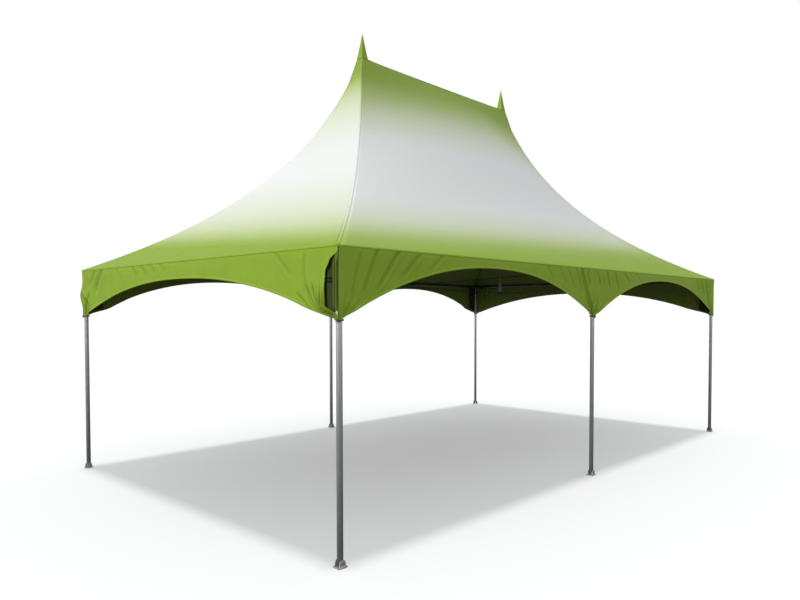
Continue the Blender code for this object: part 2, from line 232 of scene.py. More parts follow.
def add_rod(bm, start, end, radius, sides=24, end_radius=None):
    """Add a round bar between two points to a bmesh and return its vertices."""
    start = Vector(start)
    end = Vector(end)
    run = end - start
    turn = run.to_track_quat("Z", "Y").to_matrix().to_4x4()
    made = bmesh.ops.create_cone(bm, cap_ends=True, segments=sides, radius1=radius,
                                 radius2=radius if end_radius is None else end_radius,
                                 depth=run.length, matrix=Matrix.Translation((start + end) / 2) @ turn)
    return made["verts"]


def soften(bm, verts, width, segments=2, angle=35):
    """Round the sharp edges of what was just added."""
    kept = set(verts)
    edges = [edge for edge in bm.edges if set(edge.verts) <= kept
             and edge.is_manifold and edge.calc_face_angle() > math.radians(angle)]
    bmesh.ops.bevel(bm, geom=edges, offset=width, segments=segments, profile=0.5,
                    affect="EDGES", material=-1, clamp_overlap=True)


foot_zinc = steel_finish("foot_zinc", (0.34, 0.338, 0.335), (0.70, 0.70, 0.69), 0.45)
bolt_steel = steel_finish("bolt_steel", (0.30, 0.295, 0.28), (0.62, 0.61, 0.57), 0.9)
for name, (x, y) in LEGS.items():
    foot = bmesh.new()
    rim = [Vector((x + a * (PLATE_HALF - b * PLATE_CORNER), y + c * (PLATE_HALF - d * PLATE_CORNER), 0.0))
           for a, b, c, d in ((1, 1, -1, 0), (1, 0, -1, 1), (1, 0, 1, 1), (1, 1, 1, 0),
                              (-1, 1, 1, 0), (-1, 0, 1, 1), (-1, 0, -1, 1), (-1, 1, -1, 0))]
    corners = [foot.verts.new(point) for point in rim]
    outline = [foot.edges.new((corners[i], corners[(i + 1) % len(corners)])) for i in range(len(corners))]
    for a in (-1, 1):
        for b in (-1, 1):
            place = PLATE_HALF - STAKE_HOLE_INSET
            hole = bmesh.ops.create_circle(foot, cap_ends=False, segments=20, radius=STAKE_HOLE_RADIUS,
                                           matrix=Matrix.Translation((x + a * place, y + b * place, 0.0)))
            outline += list({edge for vert in hole["verts"] for edge in vert.link_edges})
    plate = bmesh.ops.triangle_fill(foot, edges=outline, use_beauty=True, use_dissolve=False)
    faces = [item for item in plate["geom"] if isinstance(item, bmesh.types.BMFace)]
    raised = bmesh.ops.extrude_face_region(foot, geom=faces, use_keep_orig=True)["geom"]
    bmesh.ops.translate(foot, vec=(0.0, 0.0, PLATE_THICKNESS),
                        verts=[item for item in raised if isinstance(item, bmesh.types.BMVert)])
    bmesh.ops.recalc_face_normals(foot, faces=foot.faces)
    soften(foot, foot.verts, 0.0007, 1, 60)
    for side in (-1, 1):
        inner = TUBE_RADIUS + SEAT
        middle = y + side * (inner + CHEEK_THICKNESS / 2)
        cheek = bmesh.ops.create_cube(foot, size=1.0, matrix=Matrix.Translation(
            (x, middle, (PLATE_THICKNESS + CHEEK_HEIGHT) / 2)) @ Matrix.Diagonal(
            (CHEEK_FOOT, CHEEK_THICKNESS, CHEEK_HEIGHT - PLATE_THICKNESS, 1.0)))["verts"]
        for vert in cheek:
            if vert.co.z > CHEEK_HEIGHT / 2:
                vert.co.x = x + (vert.co.x - x) * CHEEK_TOP / CHEEK_FOOT
        crest = [edge for vert in cheek for edge in vert.link_edges
                 if min(v.co.z for v in edge.verts) > CHEEK_HEIGHT / 2
                 and abs(edge.verts[0].co.y - edge.verts[1].co.y) > CHEEK_THICKNESS / 2]
        bmesh.ops.bevel(foot, geom=list(set(crest)), offset=0.014, segments=6, profile=0.5,
                        affect="EDGES", material=-1, clamp_overlap=True)
        bead = y + side * (inner + CHEEK_THICKNESS)
        add_rod(foot, (x - CHEEK_FOOT / 2, bead, PLATE_THICKNESS), (x + CHEEK_FOOT / 2, bead, PLATE_THICKNESS),
                WELD_RADIUS, 12)
    add_piece("foot_plate_" + name, foot, [foot_zinc], ["foot_" + name], 30)

    bolt = bmesh.new()
    face = TUBE_RADIUS + SEAT + CHEEK_THICKNESS
    add_rod(bolt, (x, y - face - 0.011, BOLT_HEIGHT), (x, y + face + 0.012, BOLT_HEIGHT), BOLT_SHANK_RADIUS, 20)
    for side in (-1, 1):
        add_rod(bolt, (x, y + side * face, BOLT_HEIGHT), (x, y + side * (face + 0.0016), BOLT_HEIGHT), 0.0135, 28)
        head = add_rod(bolt, (x, y + side * (face + 0.0016), BOLT_HEIGHT),
                       (x, y + side * (face + 0.0095), BOLT_HEIGHT), BOLT_HEAD_RADIUS, 6)
        soften(bolt, head, 0.0008)
    add_piece("foot_bolt_" + name, bolt, [bolt_steel], (), 30)


# Legs: drawn round aluminium tube with a 2.1 mm wall, sawn square, satin from the mill, and
# with a painted shade that darkens it toward the ground. A sprung button locks each head.
EAVE_HEIGHT = 2.538
ROOF_THICKNESS = 0.005
ROOF_EDGE_HEIGHT = EAVE_HEIGHT - ROOF_THICKNESS
EAVE_TUBE_HEIGHT = ROOF_EDGE_HEIGHT - 0.0115
HEAD_ARM = 0.15
LEG_FOOT_HEIGHT = 0.020
TUBE_WALL = 0.0021
BUTTON_RADIUS = 0.0045


def tube_finish(name, low_tone, high_tone, low_height, high_height, axis, metallic=1.0):
    """Mill-finished tube: fine draw marks along it, and a painted shade that changes its tone with height."""
    material, tree, shader = new_material(name, high_tone, 0.34, metallic)
    place = add_node(tree, "ShaderNodeTexCoord")
    grain_scale = tuple(3.0 if axis == i else 420.0 for i in range(3))
    drawn = add_node(tree, "ShaderNodeMapping", {"Vector": place.outputs["Object"], "Scale": grain_scale})
    grain = add_node(tree, "ShaderNodeTexNoise", {"Vector": drawn.outputs[0], "Scale": 1.0, "Detail": 3.0})
    smudge = add_node(tree, "ShaderNodeTexNoise", {"Vector": place.outputs["Object"], "Scale": 9.0,
                                                   "Detail": 4.0, "Roughness": 0.6})
    # Painted shade: the tone runs from low_tone at low_height to high_tone at high_height, made a little uneven by
    # the smudge noise.
    split = add_node(tree, "ShaderNodeSeparateXYZ", {0: place.outputs["Object"]})
    rise = add_node(tree, "ShaderNodeMapRange", {"Value": split.outputs["Z"], "From Min": low_height,
                                                 "From Max": high_height})
    uneven = add_node(tree, "ShaderNodeMath", {0: smudge.outputs["Fac"], 1: 0.36, 2: -0.18},
                      operation="MULTIPLY_ADD")
    share = add_node(tree, "ShaderNodeMath", {0: rise.outputs[0], 1: uneven.outputs[0]}, operation="ADD",
                     use_clamp=True)
    tone = add_node(tree, "ShaderNodeMix", {"Factor": share.outputs[0], "A": (*low_tone, 1.0),
                                            "B": (*high_tone, 1.0)}, data_type="RGBA")
    for key in ("A", "B"):
        socket = [s for s in tone.inputs if s.name == key and s.type == "RGBA"][0]
        socket.default_value = (*(low_tone if key == "A" else high_tone), 1.0)
    tree.links.new([s for s in tone.outputs if s.type == "RGBA"][0], shader.inputs["Base Color"])
    rough = add_node(tree, "ShaderNodeMapRange", {"Value": grain.outputs["Fac"], "From Min": 0.3,
                                                  "From Max": 0.7, "To Min": 0.27, "To Max": 0.44})
    tree.links.new(rough.outputs[0], shader.inputs["Roughness"])
    bump = add_node(tree, "ShaderNodeBump", {"Height": grain.outputs["Fac"], "Strength": 0.06,
                                             "Distance": 0.0004})
    tree.links.new(bump.outputs[0], shader.inputs["Normal"])
    return material


def open_tube(bm, start, end, radius=TUBE_RADIUS, sides=48):
    """A tube between two points, with its wall and a recess showing at both sawn ends."""
    verts = add_rod(bm, start, end, radius, sides)
    ends = [face for face in {f for v in verts for f in v.link_faces} if len(face.verts) == sides]
    for face in ends:
        inward = -face.normal * 0.06
        bmesh.ops.inset_region(bm, faces=[face], thickness=TUBE_WALL, use_even_offset=True)
        bore = bmesh.ops.extrude_face_region(bm, geom=[face])["geom"]
        bmesh.ops.delete(bm, geom=[face], context="FACES_ONLY")
        bmesh.ops.translate(bm, vec=inward, verts=[v for v in bore if isinstance(v, bmesh.types.BMVert)])


leg_aluminium_painted_shade = tube_finish("leg_aluminium_painted_shade", (0.24, 0.238, 0.235), (0.68, 0.685, 0.69), 0.0, 2.3, 2, 0.8)
for name, (x, y) in LEGS.items():
    leg = bmesh.new()
    top = EAVE_TUBE_HEIGHT - HEAD_ARM - GAP
    open_tube(leg, (x, y, LEG_FOOT_HEIGHT), (x, y, top))
    button = bmesh.ops.create_uvsphere(leg, u_segments=16, v_segments=8, radius=BUTTON_RADIUS,
                                       matrix=Matrix.Translation((x, y + math.copysign(TUBE_RADIUS, y), top - 0.03)))
    add_piece("leg_tube_" + name, leg, [leg_aluminium_painted_shade], ["leg_" + name], 35)


# Leg heads: elbows and tees cut from the same tube, mitred and welded, with a bead of weld
# round each sawn end and a drilled lug for every cable.
weld_grey = steel_finish("weld_grey", (0.26, 0.26, 0.26), (0.46, 0.46, 0.46), 0.9)
# The heads are painted a dark grey: painted shade for where they sit under the eave.
head_aluminium = tube_finish("head_aluminium", (0.26, 0.26, 0.26), (0.34, 0.34, 0.35), 2.2, 2.5, 2)


def frame_finish(node, material):
    """Give a piece of the frame that keeps its own shape its finish."""
    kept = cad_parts[node]
    kept.data.materials.clear()
    kept.data.materials.append(material)


def weld_ring(bm, centre, axis, radius, bead=0.0022):
    """A bead of weld round a tube end."""
    turn = Vector(axis).to_track_quat("Z", "Y").to_matrix().to_4x4()
    section = bmesh.ops.create_circle(bm, cap_ends=False, segments=8, radius=bead, matrix=Matrix.Translation(
        centre) @ turn @ Matrix.Translation((radius, 0.0, 0.0)) @ Matrix.Rotation(math.pi / 2, 4, "X"))
    edges = list({edge for vert in section["verts"] for edge in vert.link_edges})
    bmesh.ops.spin(bm, geom=edges + section["verts"], cent=centre, axis=Vector(axis), dvec=(0, 0, 0),
                   angle=2 * math.pi, steps=40, use_merge=True)


for name, (x, y) in LEGS.items():
    frame_finish("head_" + name, head_aluminium)
    welds = bmesh.new()
    inward = -math.copysign(1.0, y)
    arms = [(0.0, 0.0, -1.0)]
    arms += [(-math.copysign(1.0, x), 0.0, 0.0), (0.0, inward, 0.0)] if x else [(-1.0, 0.0, 0.0), (1.0, 0.0, 0.0)]
    for arm in arms:
        centre = Vector((x, y, EAVE_TUBE_HEIGHT)) + Vector(arm) * (HEAD_ARM - 0.004)
        weld_ring(welds, centre, arm, TUBE_RADIUS)
    bmesh.ops.recalc_face_normals(welds, faces=welds.faces)
    add_piece("head_welds_" + name, welds, [weld_grey], (), 60)


# Eave tubes: one length of the same tube for each bay, butted between the heads, painted
# dark as shade under the roof; the ridge tube takes the same finish.
eave_aluminium_painted_shade = {axis: tube_finish("eave_aluminium_painted_shade_" + "xy"[axis], (0.17, 0.175, 0.16), (0.24, 0.245, 0.23),
                                    2.4, 2.6, axis) for axis in (0, 1)}
reach = HEAD_ARM + GAP
for side, y in (("front", -HALF_WIDTH), ("back", HALF_WIDTH)):
    for end, start, stop in (("left", -HALF_LENGTH, 0.0), ("right", 0.0, HALF_LENGTH)):
        tube = bmesh.new()
        open_tube(tube, (start + reach, y, EAVE_TUBE_HEIGHT), (stop - reach, y, EAVE_TUBE_HEIGHT))
        add_piece(f"eave_rail_{side}_{end}", tube, [eave_aluminium_painted_shade[0]], [f"eave_tube_{side}_{end}"],
                  35)
for end, x in (("left", -HALF_LENGTH), ("right", HALF_LENGTH)):
    tube = bmesh.new()
    open_tube(tube, (x, -HALF_WIDTH + reach, EAVE_TUBE_HEIGHT), (x, HALF_WIDTH - reach, EAVE_TUBE_HEIGHT))
    add_piece("eave_rail_gable_" + end, tube, [eave_aluminium_painted_shade[1]], ["eave_tube_gable_" + end],
              35)


# Mast cables: galvanised wire rope, laid right hand, from the lug of each leg head to the
# steel hub that a mast stands on. Pressed ferrules hold the eyes and a rigging screw tightens.
PEAK_X = HALF_LENGTH - HALF_WIDTH
LUG_LENGTH = 0.075
CABLE_RADIUS = 0.005
HUB_HEIGHT = 2.30
HUB_RADIUS = 0.06
HUB_THICKNESS = 0.05
ROPE_LAY = 0.055


def rope_finish():
    """Wire rope: strands that wind round the axis, on the rope's own UV map, painted dark as shade under the roof,
    with painted shade between the strands.
    """
    material, tree, shader = new_material("wire_rope", (0.34, 0.34, 0.35), 0.4, 1.0)
    place = add_node(tree, "ShaderNodeUVMap", uv_map="lay")
    strands = add_node(tree, "ShaderNodeTexWave", {"Vector": place.outputs[0], "Scale": 1.0},
                       wave_type="BANDS", bands_direction="DIAGONAL")
    bump = add_node(tree, "ShaderNodeBump", {"Height": strands.outputs["Fac"], "Strength": 0.8,
                                             "Distance": 0.0015})
    tree.links.new(bump.outputs[0], shader.inputs["Normal"])
    shade = add_node(tree, "ShaderNodeValToRGB", {"Fac": strands.outputs["Fac"]})
    shade.color_ramp.elements[0].color = (0.05, 0.05, 0.05, 1.0)
    shade.color_ramp.elements[1].color = (0.26, 0.26, 0.26, 1.0)
    tree.links.new(shade.outputs["Color"], shader.inputs["Base Color"])
    return material


wire_rope = rope_finish()
# The hub is painted dark: painted shade under the roof.
hub_steel_painted_shade = steel_finish("hub_steel_painted_shade", (0.09, 0.09, 0.09), (0.24, 0.24, 0.24))
for end, peak in (("left", -PEAK_X), ("right", PEAK_X)):
    hub_centre = Vector((peak, 0.0, HUB_HEIGHT))
    ropes = bmesh.new()
    lay = ropes.loops.layers.uv.new("lay")
    fittings = bmesh.new()
    for name, (x, y) in LEGS.items():
        if x and math.copysign(1.0, x) != math.copysign(1.0, peak):
            continue
        head = Vector((x, y, EAVE_TUBE_HEIGHT))
        aim = (hub_centre - head).normalized()
        lug_tip = head + aim * (LUG_LENGTH + SEAT)
        far = hub_centre - aim * (HUB_RADIUS - 0.012)
        for vert in add_rod(ropes, lug_tip + aim * 0.19, far, CABLE_RADIUS, 14):
            for loop in vert.link_loops:
                offset = loop.vert.co - lug_tip
                along = offset.dot(aim)
                level = offset - aim * along
                around = math.atan2(level.z, level.dot(aim.cross(Vector((0, 0, 1))).normalized()))
                loop[lay].uv = (along / ROPE_LAY * 6, around / (2 * math.pi) * 6)
        screw = add_rod(fittings, lug_tip + aim * 0.045, lug_tip + aim * 0.15, 0.0095, 6)
        soften(fittings, screw, 0.0012)
        add_rod(fittings, lug_tip, lug_tip + aim * 0.05, 0.0055, 16)
        add_rod(fittings, lug_tip + aim * 0.145, lug_tip + aim * 0.20, 0.0055, 16)
        ferrule = add_rod(fittings, lug_tip + aim * 0.19, lug_tip + aim * 0.225, 0.0085, 20)
        soften(fittings, ferrule, 0.0015)
        last = add_rod(fittings, far - aim * 0.055, far - aim * 0.02, 0.0085, 20)
        soften(fittings, last, 0.0015)
        weld_ring(fittings, lug_tip + aim * 0.003, aim, 0.0085, 0.0025)
    half = Vector((0.0, 0.0, HUB_THICKNESS / 2))
    soften(fittings, add_rod(fittings, hub_centre - half, hub_centre + half, HUB_RADIUS, 48), 0.003, 3)
    rim = add_rod(fittings, hub_centre - half * 0.35, hub_centre + half * 0.35, HUB_RADIUS + 0.003, 48)
    soften(fittings, rim, 0.0015)
    weld_ring(fittings, hub_centre + half, (0, 0, 1), TUBE_RADIUS + 0.001, 0.003)
    add_piece("mast_hub_" + end, fittings, [hub_steel_painted_shade], ["mast_cables_" + end], 30)
    add_piece("wire_ropes_" + end, ropes, [wire_rope], (), 40)


# Masts and ridge tube: a short mast on each hub, with a spun cone at its head that spreads
# the load on the skin, and a tube between the cones that carries the ridge.
RIDGE_HEIGHT = 5.277
MAST_CROWN_HEIGHT = 0.36
MAST_CROWN_FOOT_RADIUS = 0.085
MAST_CROWN_TOP_RADIUS = 0.036
MAST_CROWN_DROP = 0.012
MAST_POST_RADIUS = 0.028
RIDGE_TUBE_DROP = 0.0282
mast_aluminium = tube_finish("mast_aluminium", (0.40, 0.40, 0.40), (0.46, 0.46, 0.47), 2.2, 5.0, 2)
crown_foot = RIDGE_HEIGHT - MAST_CROWN_HEIGHT
crown_top = RIDGE_HEIGHT - ROOF_THICKNESS - MAST_CROWN_DROP
for end, peak in (("left", -PEAK_X), ("right", PEAK_X)):
    mast = bmesh.new()
    foot_z = HUB_HEIGHT + HUB_THICKNESS / 2 + GAP
    profile = [(0.0, foot_z), (TUBE_RADIUS, foot_z), (TUBE_RADIUS, crown_foot - 0.004),
               (MAST_CROWN_FOOT_RADIUS - 0.006, crown_foot), (MAST_CROWN_FOOT_RADIUS, crown_foot + 0.006),
               (MAST_CROWN_TOP_RADIUS, crown_top - 0.004), (MAST_CROWN_TOP_RADIUS - 0.004, crown_top),
               (MAST_POST_RADIUS, crown_top), (MAST_POST_RADIUS, RIDGE_HEIGHT - 0.002),
               (MAST_POST_RADIUS - 0.002, RIDGE_HEIGHT), (0.0, RIDGE_HEIGHT)]
    verts = [mast.verts.new((peak + radius, 0.0, z)) for radius, z in profile]
    edges = [mast.edges.new(pair) for pair in zip(verts, verts[1:])]
    bmesh.ops.spin(mast, geom=verts + edges, cent=(peak, 0.0, 0.0), axis=(0, 0, 1), dvec=(0, 0, 0),
                   angle=2 * math.pi, steps=48, use_merge=True)
    bmesh.ops.remove_doubles(mast, verts=mast.verts, dist=0.00005)
    bmesh.ops.recalc_face_normals(mast, faces=mast.faces)
    add_piece("mast_pole_" + end, mast, [mast_aluminium], ["mast_" + end], 35)

ridge = bmesh.new()
crown_slope = (MAST_CROWN_FOOT_RADIUS - MAST_CROWN_TOP_RADIUS) / (crown_top - crown_foot)
ridge_reach = (PEAK_X - MAST_CROWN_TOP_RADIUS
               - crown_slope * (RIDGE_TUBE_DROP + TUBE_RADIUS - MAST_CROWN_DROP) - SEAT)
ridge_z = RIDGE_HEIGHT - ROOF_THICKNESS - RIDGE_TUBE_DROP
open_tube(ridge, (-ridge_reach, 0.0, ridge_z), (ridge_reach, 0.0, ridge_z))
add_piece("ridge_pole", ridge, [eave_aluminium_painted_shade[0]], ["ridge_tube"], 35)


# Roof skin: four panels of coated polyester, printed green that fades to white at mid
# height and back, stretched from the eave tubes to the crowns and lapped down over the eave.
ROOF_OVERHANG = 0.036
ROOF_RISE = RIDGE_HEIGHT - ROOF_THICKNESS - ROOF_EDGE_HEIGHT
FUNNEL_SOFTNESS = 0.15
FUNNEL_RISE = 0.5035
CROWN_HALF_WIDTH = 0.126
CROWN_TOP_HALF_WIDTH = 0.046
MID_PANEL_SAG = 0.12
GABLE_BULGE = 0.08
RIDGE_ROUND = RIDGE_TUBE_DROP + ROOF_THICKNESS
RIDGE_SETTLE = 0.40
CLOTH_THICKNESS = 0.0016
EAVE_TURN = ((-0.0357, 0.0150), (-0.0359, 0.0090), (-0.0353, 0.0040), (-0.0335, 0.0012), (-0.029, 0.0002))
# Painted shade: the share of the cloth's colour left at the bottom of a crease.
CREASE_PAINTED_SHADE = 0.30
PRINT_GREEN = paint(143, 174, 50)
PRINT_TINTS = ((0.0, PRINT_GREEN), (0.165, paint(160, 185, 88)), (0.286, paint(184, 201, 134)),
               (0.41, paint(203, 214, 172)), (0.55, paint(215, 223, 197)), (0.78, paint(224, 229, 216)),
               (1.0, paint(229, 232, 230)))
INSIDE_GREEN = (0.195, 0.250, 0.045)
WEAVE_PITCH = 0.0011

# Each fade of the print: the way its level leans, where it starts, where it is white, and how
# it is eased. The third fade of a long panel is a faint margin along its right hip. Over the
# print lies painted shade and light: the long panels are painted darker toward the ridge and
# their green a little lighter, and the gables' green is painted a little darker.
LOW_FADE = ((-0.039, 0.0, 1.0), 2.59, 3.275, 1.32)
HIGH_FADE = ((-0.069, 0.0, 1.0), 6.235, 4.16, 3.09)
LONG_FADES = {"front": (LOW_FADE, HIGH_FADE, ((-1.0, -1.0, 0.0), -3.1, -0.6, 1.0)),
              "back": (LOW_FADE, HIGH_FADE, ((-1.0, 1.0, 0.0), -3.1, -0.6, 1.0))}
GABLE_FADES = (((0.0, -0.057, 1.0), 2.70, 3.62, 0.66), ((-0.07, 0.0, 1.0), 5.22, 4.10, 0.80))
LONG_GREEN_PAINTED_LIGHT = 1.04
GABLE_GREEN_PAINTED_SHADE = 0.93
LONG_PAINTED_SHADE = (4.1, 5.1, 1.0, 0.88)
GABLE_PAINTED_SHADE = (4.1, 5.1, 1.0, 1.0)


def cloth_surface(tree, shader, cut_map, ripple=0.12):
    """Satin coated polyester: a fine basket weave, faint slack and an uneven sheen."""
    place = add_node(tree, "ShaderNodeTexCoord")
    cut = add_node(tree, "ShaderNodeUVMap", uv_map=cut_map)
    threads = []
    for direction in ("X", "Y"):
        threads.append(add_node(tree, "ShaderNodeTexWave",
                                {"Vector": cut.outputs[0], "Scale": 0.314 / WEAVE_PITCH},
                                wave_type="BANDS", bands_direction=direction))
    weave = add_node(tree, "ShaderNodeMath", {0: threads[0].outputs["Fac"], 1: threads[1].outputs["Fac"]},
                     operation="MULTIPLY")
    slack = add_node(tree, "ShaderNodeTexNoise", {"Vector": place.outputs["Object"], "Scale": 4.5,
                                                  "Detail": 3.0, "Roughness": 0.55})
    fine = add_node(tree, "ShaderNodeBump", {"Height": weave.outputs[0], "Strength": 0.10, "Distance": 0.0004})
    soft = add_node(tree, "ShaderNodeBump", {"Height": slack.outputs["Fac"], "Strength": ripple,
                                             "Distance": 0.02, "Normal": fine.outputs[0]})
    tree.links.new(soft.outputs[0], shader.inputs["Normal"])
    gloss = add_node(tree, "ShaderNodeMapRange", {"Value": slack.outputs["Fac"], "From Min": 0.3,
                                                  "From Max": 0.7, "To Min": 0.52, "To Max": 0.64})
    tree.links.new(gloss.outputs[0], shader.inputs["Roughness"])
    shader.inputs["Specular IOR Level"].default_value = 0.12
    return place, slack


def printed_cloth(name, cut_map, fades, depth, tones):
    """The printed face: white where every fade is past, green toward the eave and the ridge, with painted light and
    shade over it.
    """
    material, tree, shader = new_material(name, PRINT_GREEN, 0.55)
    place, slack = cloth_surface(tree, shader, cut_map)
    shares = []
    for lean, start, stop, power in fades:
        height = add_node(tree, "ShaderNodeVectorMath", {0: place.outputs["Object"], 1: lean},
                          operation="DOT_PRODUCT")
        share = add_node(tree, "ShaderNodeMapRange", {"Value": height.outputs["Value"],
                                                      "From Min": start, "From Max": stop})
        shares.append(add_node(tree, "ShaderNodeMath", {0: share.outputs[0], 1: power}, operation="POWER"))
    white = shares[0]
    for share in shares[1:]:
        white = add_node(tree, "ShaderNodeMath", {0: white.outputs[0], 1: share.outputs[0]}, operation="MULTIPLY")
    tint = add_node(tree, "ShaderNodeValToRGB", {"Fac": white.outputs[0]})
    stops = tint.color_ramp.elements
    for position, colour in PRINT_TINTS[1:-1]:
        stops.new(position)
    # Painted light and shade: the green end of the stops is scaled by depth, lighter on the long panels and darker
    # on the gables.
    for stop, (position, colour) in zip(stops, PRINT_TINTS):
        stop.color = (*(c * (depth + (1.0 - depth) * position) for c in colour), 1.0)
    # Painted shade: the whole colour is scaled down with height between two levels, darker toward the ridge.
    level = add_node(tree, "ShaderNodeSeparateXYZ", {0: place.outputs["Object"]})
    low, high, low_tone, high_tone = tones
    tone = add_node(tree, "ShaderNodeMapRange", {"Value": level.outputs["Z"], "From Min": low,
                                                 "From Max": high, "To Min": low_tone, "To Max": high_tone})
    painted_shade = add_node(tree, "ShaderNodeMixRGB", {0: 1.0, 1: tint.outputs["Color"], 2: tone.outputs[0]},
                      blend_type="MULTIPLY")
    tree.links.new(painted_shade.outputs[0], shader.inputs["Base Color"])
    return material


def plain_cloth(name, cut_map, colour, ripple=0.12, shaded=False):
    """Cloth of one colour, a little uneven where it has been handled, with painted shade in its creases."""
    material, tree, shader = new_material(name, colour, 0.55)
    place, slack = cloth_surface(tree, shader, cut_map, ripple)
    uneven = add_node(tree, "ShaderNodeValToRGB", {"Fac": slack.outputs["Fac"]})
    uneven.color_ramp.elements[0].position = 0.25
    uneven.color_ramp.elements[0].color = (*(c * 0.93 for c in colour), 1.0)
    uneven.color_ramp.elements[1].position = 0.75
    uneven.color_ramp.elements[1].color = (*(c * 1.05 for c in colour), 1.0)
    result = uneven.outputs["Color"]
    # Painted shade: the crease value of each vertex darkens the colour in the creases.
    if shaded:
        crease = add_node(tree, "ShaderNodeAttribute", attribute_name="crease")
        dull_and_shade = add_node(tree, "ShaderNodeMixRGB", {0: crease.outputs["Fac"], 1: result,
                                                   2: (*(c * CREASE_PAINTED_SHADE for c in colour), 1.0)})
        result = dull_and_shade.outputs["Color"]
    tree.links.new(result, shader.inputs["Base Color"])
    return material


def hip_rise(closeness):
    """Height fraction of a hip at a plan fraction of 1 at the eave and 0 at the mast."""
    crown = CROWN_HALF_WIDTH / (HALF_WIDTH + ROOF_OVERHANG)
    top = CROWN_TOP_HALF_WIDTH / (HALF_WIDTH + ROOF_OVERHANG)
    span = 1.0 + FUNNEL_SOFTNESS
    if closeness >= crown:
        return FUNNEL_RISE * math.log(span / (closeness + FUNNEL_SOFTNESS))
    at_crown = FUNNEL_RISE * math.log(span / (crown + FUNNEL_SOFTNESS))
    share = min(1.0, (crown - closeness) / (crown - top))
    return at_crown + (1.0 - at_crown) * share


def over_ridge(from_ridge):
    """Height fraction that the ridge tube adds where the skin is drawn round over it."""
    slope = ROOF_RISE / (HALF_WIDTH + ROOF_OVERHANG) * (1.0 + 4 * MID_PANEL_SAG)
    turn = math.atan(slope)
    leaves = RIDGE_ROUND * math.sin(turn)
    if from_ridge > RIDGE_SETTLE:
        return 0.0
    if from_ridge < leaves:
        drop = RIDGE_ROUND - math.sqrt(RIDGE_ROUND ** 2 - from_ridge ** 2)
        return (slope * from_ridge - drop) / ROOF_RISE
    extra = slope * leaves - RIDGE_ROUND * (1.0 - math.cos(turn))
    return extra * (1.0 - (from_ridge - leaves) / (RIDGE_SETTLE - leaves)) ** 2 / ROOF_RISE


def skin_point(inset, along, gable, side, lift=0.0):
    """A point of the skin's outer face, inset from the eave and along it from mid panel."""
    held = max(inset, -ROOF_OVERHANG)
    half = (HALF_WIDTH if gable else HALF_LENGTH) - inset
    across = min(1.0, abs(along) / half) if half > 0.0001 else 1.0
    closeness = (HALF_WIDTH - held) / (HALF_WIDTH + ROOF_OVERHANG)
    hip = hip_rise(closeness)
    chord = 1.0 - closeness
    if gable:
        middle = hip + GABLE_BULGE * (chord - hip)
    else:
        middle = chord - 4 * MID_PANEL_SAG * closeness * chord + over_ridge(HALF_WIDTH - inset)
    z = ROOF_EDGE_HEIGHT + ROOF_RISE * (hip + (middle - hip) * (1.0 - across * across))
    z += ROOF_THICKNESS + lift
    out = side * ((HALF_LENGTH if gable else HALF_WIDTH) - inset)
    return Vector((out, along, z)) if gable else Vector((along, out, z))


def skin_slack(point, hip_distance, inset):
    """Small give in the stretched cloth: puckers beside the hip seams and a slow unevenness."""
    slow = noise.noise(Vector((point.x * 0.9, point.y * 0.9, point.z * 1.4)))
    pucker = noise.noise(Vector((point.x * 7.0 + 31.0, point.y * 7.0, point.z * 9.0)))
    edge = min(1.0, max(0.0, (inset + 0.02) / 0.25)) * min(1.0, max(0.0, (HALF_WIDTH - inset) / 0.3))
    return edge * (0.006 * slow * min(1.0, hip_distance / 0.3) + 0.004 * pucker * math.exp(-hip_distance / 0.07)
                   * min(1.0, hip_distance / 0.02))


def roof_rows():
    """Insets of the rows of a panel, closer together over the crown of the mast."""
    rows = [0.0 + (HALF_WIDTH - 0.30) * step / 46 for step in range(46)]
    rows += [HALF_WIDTH - 0.30 + (0.30 - CROWN_HALF_WIDTH) * step / 6 for step in range(6)]
    rows += [HALF_WIDTH - CROWN_HALF_WIDTH + (CROWN_HALF_WIDTH - CROWN_TOP_HALF_WIDTH) * step / 5
             for step in range(5)]
    return rows + [HALF_WIDTH - from_ridge for from_ridge in (CROWN_TOP_HALF_WIDTH, 0.034, 0.027, 0.018, 0.009, 0.0)]


def cut_to_cloth(bm, places, outward):
    """Write each vertex's place on the flat cut, and turn the faces outward."""
    cut = bm.loops.layers.uv.new("cut")
    for face in bm.faces:
        for loop in face.loops:
            loop[cut].uv = places[loop.vert]
    bm.normal_update()
    turned = [face for face in bm.faces if face.normal.dot(outward) < 0]
    bmesh.ops.reverse_faces(bm, faces=turned)


def give_thickness(piece, thickness, inner_slot=1):
    """Thicken a cloth inward; the inner face takes the next material."""
    solid = piece.modifiers.new("cloth", "SOLIDIFY")
    solid.thickness = thickness
    solid.offset = -1.0
    solid.material_offset = inner_slot
    solid.material_offset_rim = 0


